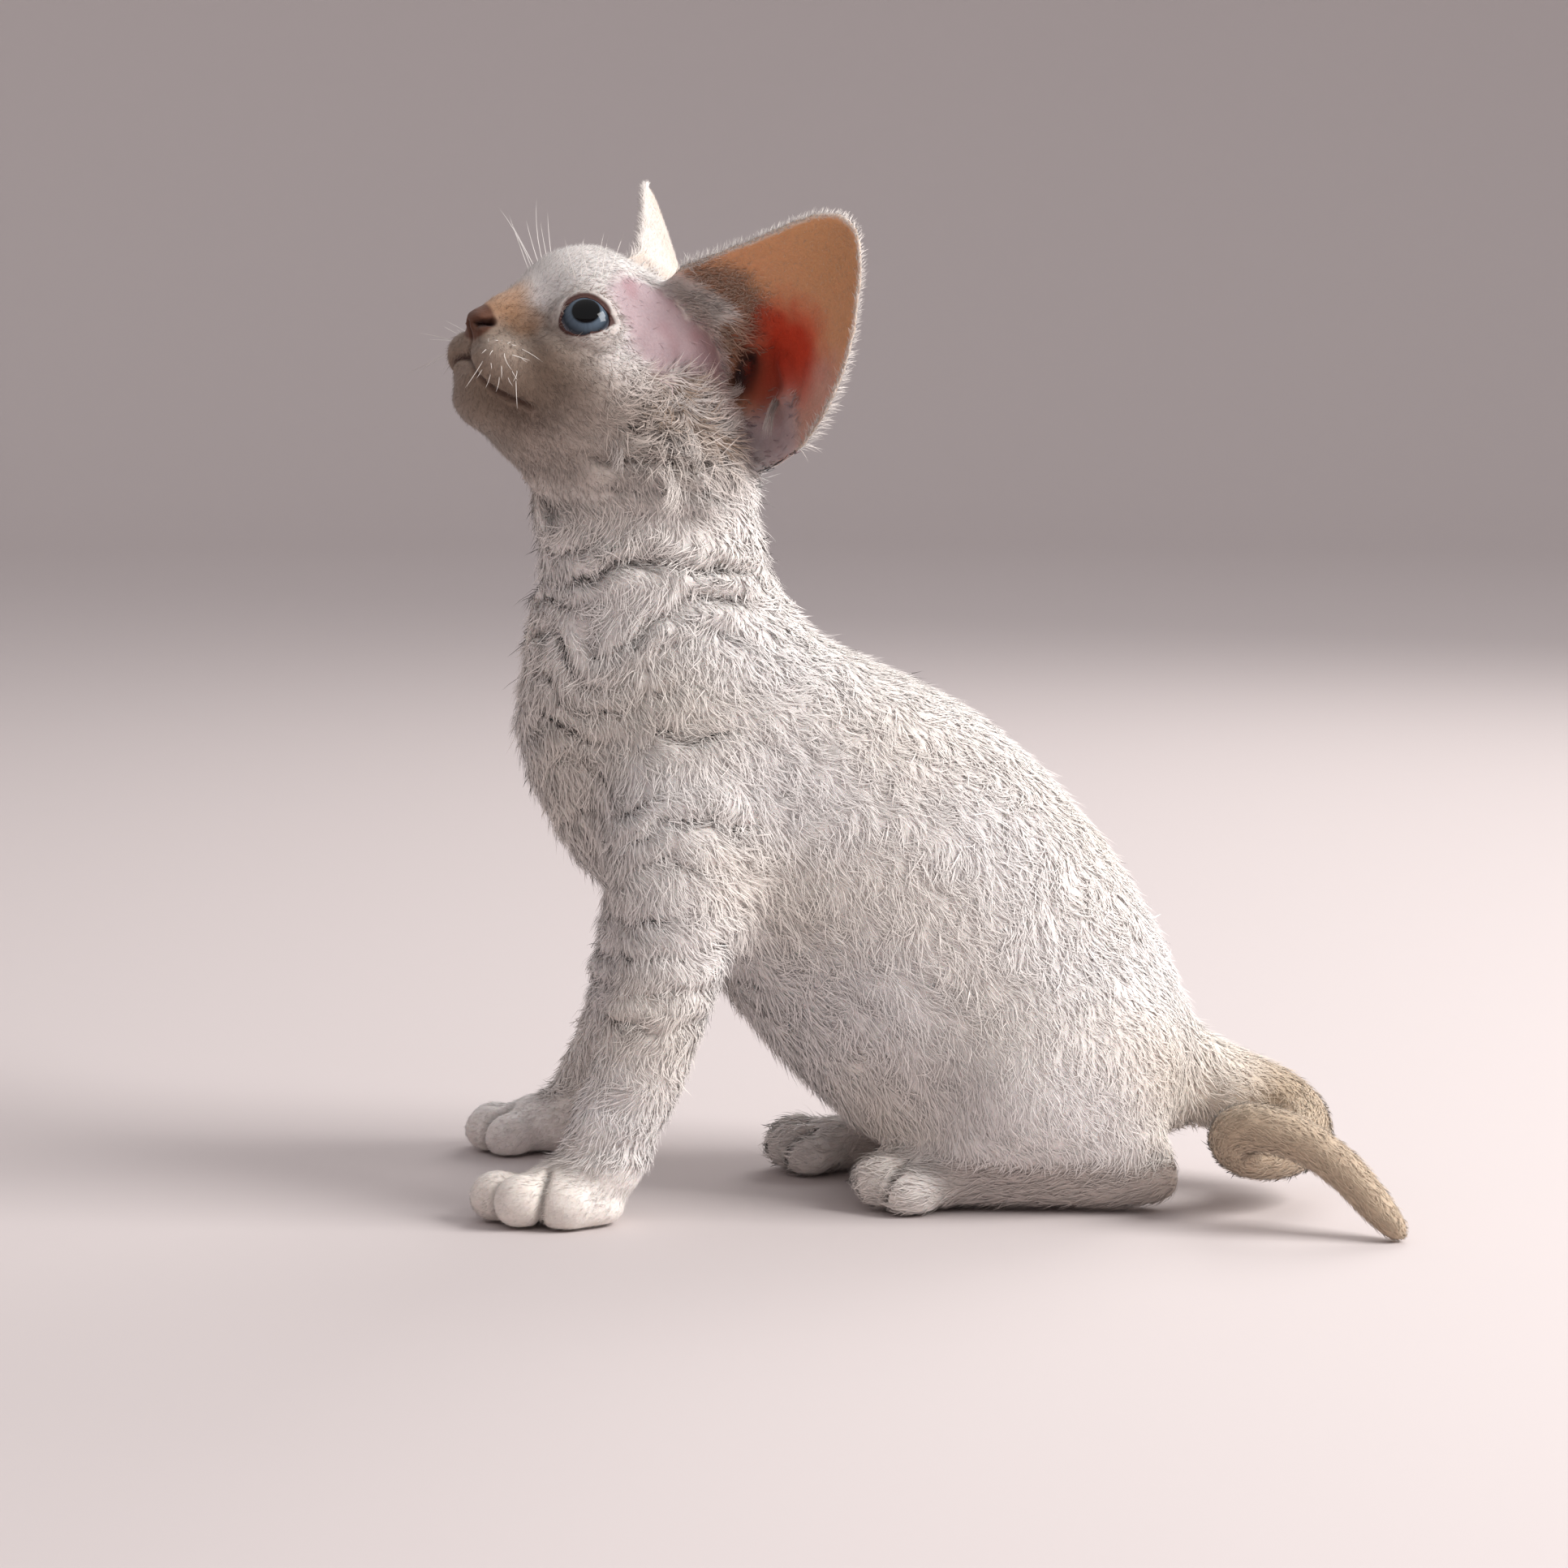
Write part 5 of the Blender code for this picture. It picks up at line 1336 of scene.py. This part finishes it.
def curls():
    """Curled locks at the jaw, under the ears, at the nape and in front of the ear canal."""
    parts = []
    for side in (1, -1):
        for spot, length, turn, rise, spread, number in CURLS:
            root, up, way = on_skin(spot, side)
            tilt = rng.normal(0, 0.3)
            aim = unit(way * math.cos(tilt) + np.cross(up, way) * math.sin(tilt))
            parts.append(lock(root, up, aim, number * 2, length, 0.19, side * turn, rise, spread,
                              CURL * rng.uniform(0.9, 1.03)))
    roots, ups, ways, lengths, widths, bends, colours, rises = (np.concatenate(v) for v in zip(*parts))
    bare_tufts("coat_curls", roots, ups, unit(ways), lengths, widths, colours, 4,
               droop=0.5, curl=bends, rise=rises)


VERTEX_TREE = tree_of(points)
VERTEX_CHART = np.zeros(len(points), np.int64)
VERTEX_CHART[skin_faces.ravel()] = np.repeat(chart, 4)

long_zone = is_on(owner, "neck", "torso", *FORELEGS, *HIND_LEGS)
ear_zone = is_on(owner, *EARS)
front_coat = np.maximum(is_on(owner, "neck", *FORELEGS), step(-14, -24, points[:, 0])) * long_zone
on_head = is_on(owner, "head")
face_front = on_head * step(-14, -6, flat[:, 0]) * (1 - ruff)
grow("chest", front_coat, 3, clump=0.25, lift=(0.35, 0.85, 1.3), wild=0.26)
grow("flank", long_zone * (1 - front_coat), 2, clump=0.15, lift=(0.45, 0.95), wild=0.2)
grow("face", face_front, 1, lift=(1.0,), wild=0.26, grain=0.2)
grow("paw", is_on(owner, "forepaw_left", "forepaw_right"), 1, lift=(0.8,))
grow("head", on_head - face_front, 2, clump=0.2, lift=(0.55, 1.1), wild=0.24, grain=0.17)
grow("tail", is_on(owner, *TAIL_NODES), 2, clump=0.2, lift=(0.5, 0.9))
grow("ear", ear_zone, 1, lift=(0.6,), grain=0.1)
grow("ear_wall", ear_wall * 0.8, 2, lift=(0.9, 1.7), wild=0.45, grain=0.12)
whiskers()
fringes()
curls()


def eye(side, name):
    """A whole ball with a raised cornea, turned so that its pupil stands at PUPIL."""
    tip = math.radians(math.hypot(*PUPIL))
    look = eye_frame(side).T @ (math.cos(tip), *(math.sin(tip) * np.array(PUPIL) / math.hypot(*PUPIL)))
    width = unit(np.cross((0, 0, 1), look))
    height = np.cross(look, width)
    centre = eye_centre(side)
    rings, segments = EYE_RINGS, EYE_SEGMENTS
    rows = []
    for i in range(rings + 1):
        a = math.pi * i / rings
        out = EYE_RADIUS + CORNEA_RISE * math.exp(-((a / CORNEA_ANGLE) ** 4))
        for j in range(segments):
            b = 2 * math.pi * j / segments
            spoke = width * math.cos(b) + height * math.sin(b)
            rows.append(centre + out * (look * math.cos(a) + math.sin(a) * spoke))
    faces = []
    for i in range(rings):
        for j in range(segments):
            k = (j + 1) % segments
            a, b = i * segments, (i + 1) * segments
            faces.append((a + j, a + k, b + k, b + j))
    rows = np.array(rows)
    angle = np.degrees(np.repeat(np.linspace(0, math.pi, rings + 1), segments))
    turn = np.tile(np.linspace(0, 2 * math.pi, segments, endpoint=False), rings + 1)
    streak = np.sin(turn * 23 + 2 * np.sin(turn * 5)) * 0.5 + np.sin(turn * 41 + 1.3) * 0.5
    colour = np.tile(EYE_WHITE, (len(rows), 1))
    iris = blend(np.tile(IRIS, (len(rows), 1)), IRIS_EDGE, step(30, 40, angle))
    iris = iris * (1 + 0.12 * streak * step(19, 27, angle))[:, None]
    inside = step(*IRIS_END, angle)[:, None]
    colour = colour * (1 - inside) + iris * inside
    colour = blend(colour, IRIS_RING, step(39.5, 42.5, angle) * step(47, 44, angle))
    colour = blend(colour, PUPIL_BLACK, step(*PUPIL_END, angle))
    loops, starts, totals, _ = faces_to_loops(np.array(faces))
    piece = new_object(name, world(rows), loops, starts, totals, None, colour)
    bm = bmesh.new()
    bm.from_mesh(piece.data)
    bmesh.ops.remove_doubles(bm, verts=bm.verts, dist=1e-7)
    bm.normal_update()
    bmesh.ops.recalc_face_normals(bm, faces=bm.faces)
    bm.to_mesh(piece.data)
    bm.free()
    piece.data.materials.append(EYE)
    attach(piece, "root")
    node = "eye_left" if side > 0 else "eye_right"
    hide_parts(node)


EYE = coat_material("eye_glass", 0.12, 700.0, 0.0, 0.0)
fill(EYE.node_tree.nodes["Principled BSDF"],
     {"Coat Weight": 0.75, "Coat Roughness": 0.03, "Coat IOR": 1.37, "Specular IOR Level": 0.0})
eye(1, "eyeball_left")
eye(-1, "eyeball_right")


def sweep():
    """A round floor that curves up into a low wall."""
    profile = [(1.5, 0.0), (2.8, 0.0)]
    profile += [(2.8 + 1.2 * math.sin(a), 1.2 - 1.2 * math.cos(a))
                for a in np.linspace(0.15, math.pi / 2, 10)]
    profile.append((4.0, 2.6))
    turns = 96
    rows = [(r * math.cos(2 * math.pi * j / turns), r * math.sin(2 * math.pi * j / turns), z)
            for r, z in profile for j in range(turns)]
    faces = [(a + j, a + turns + j, a + turns + (j + 1) % turns, a + (j + 1) % turns)
             for a in range(0, (len(profile) - 1) * turns, turns) for j in range(turns)]
    faces.append(tuple(range(turns)))
    mesh = bpy.data.meshes.new("floor")
    mesh.from_pydata(rows, [], faces)
    mesh.polygons.foreach_set("use_smooth", np.full(len(mesh.polygons), True))
    return placed("floor", mesh)


floor = sweep()
material = bpy.data.materials.new("floor_pale")
nodes, _ = nodes_of(material)
fill(nodes["Principled BSDF"], {"Base Color": (0.60, 0.54, 0.53, 1), "Roughness": 0.8})
floor.data.materials.append(material)

background = bpy.data.worlds.new("studio")
bpy.context.scene.world = background
background.use_nodes = True
fill(background.node_tree.nodes["Background"], {"Color": (0.80, 0.78, 0.80, 1), "Strength": 0.80})


def lamp(name, place, aim, energy, size, colour):
    light = bpy.data.lights.new(name, "AREA")
    light.energy, light.size, light.color = energy, size, colour
    obj = placed(name, light)
    obj.location = place
    obj.rotation_euler = (Vector(aim) - Vector(place)).to_track_quat("-Z", "Y").to_euler()


lamp("window", (1.15, -0.35, 0.95), (0, 0, 0.12), 29.0, 0.8, (1.0, 0.99, 0.98))
lamp("back", (0.5, 1.0, 0.9), (0, 0, 0.15), 6.5, 0.8, (1.0, 0.97, 0.95))

camera = bpy.data.cameras.new("camera")
holder = placed("camera", camera)
camera.sensor_width = SENSOR_WIDTH
camera.lens = LENS_PIXELS / PHOTO_SIDE * SENSOR_WIDTH
camera.clip_start = 0.05
holder.location = to_part(np.array(CAMERA_AT))
holder.rotation_euler = (math.radians(90) - math.atan(HORIZON_PIXELS / LENS_PIXELS), 0, 0)
bpy.context.scene.camera = holder
bpy.context.scene.view_settings.view_transform = "Standard"
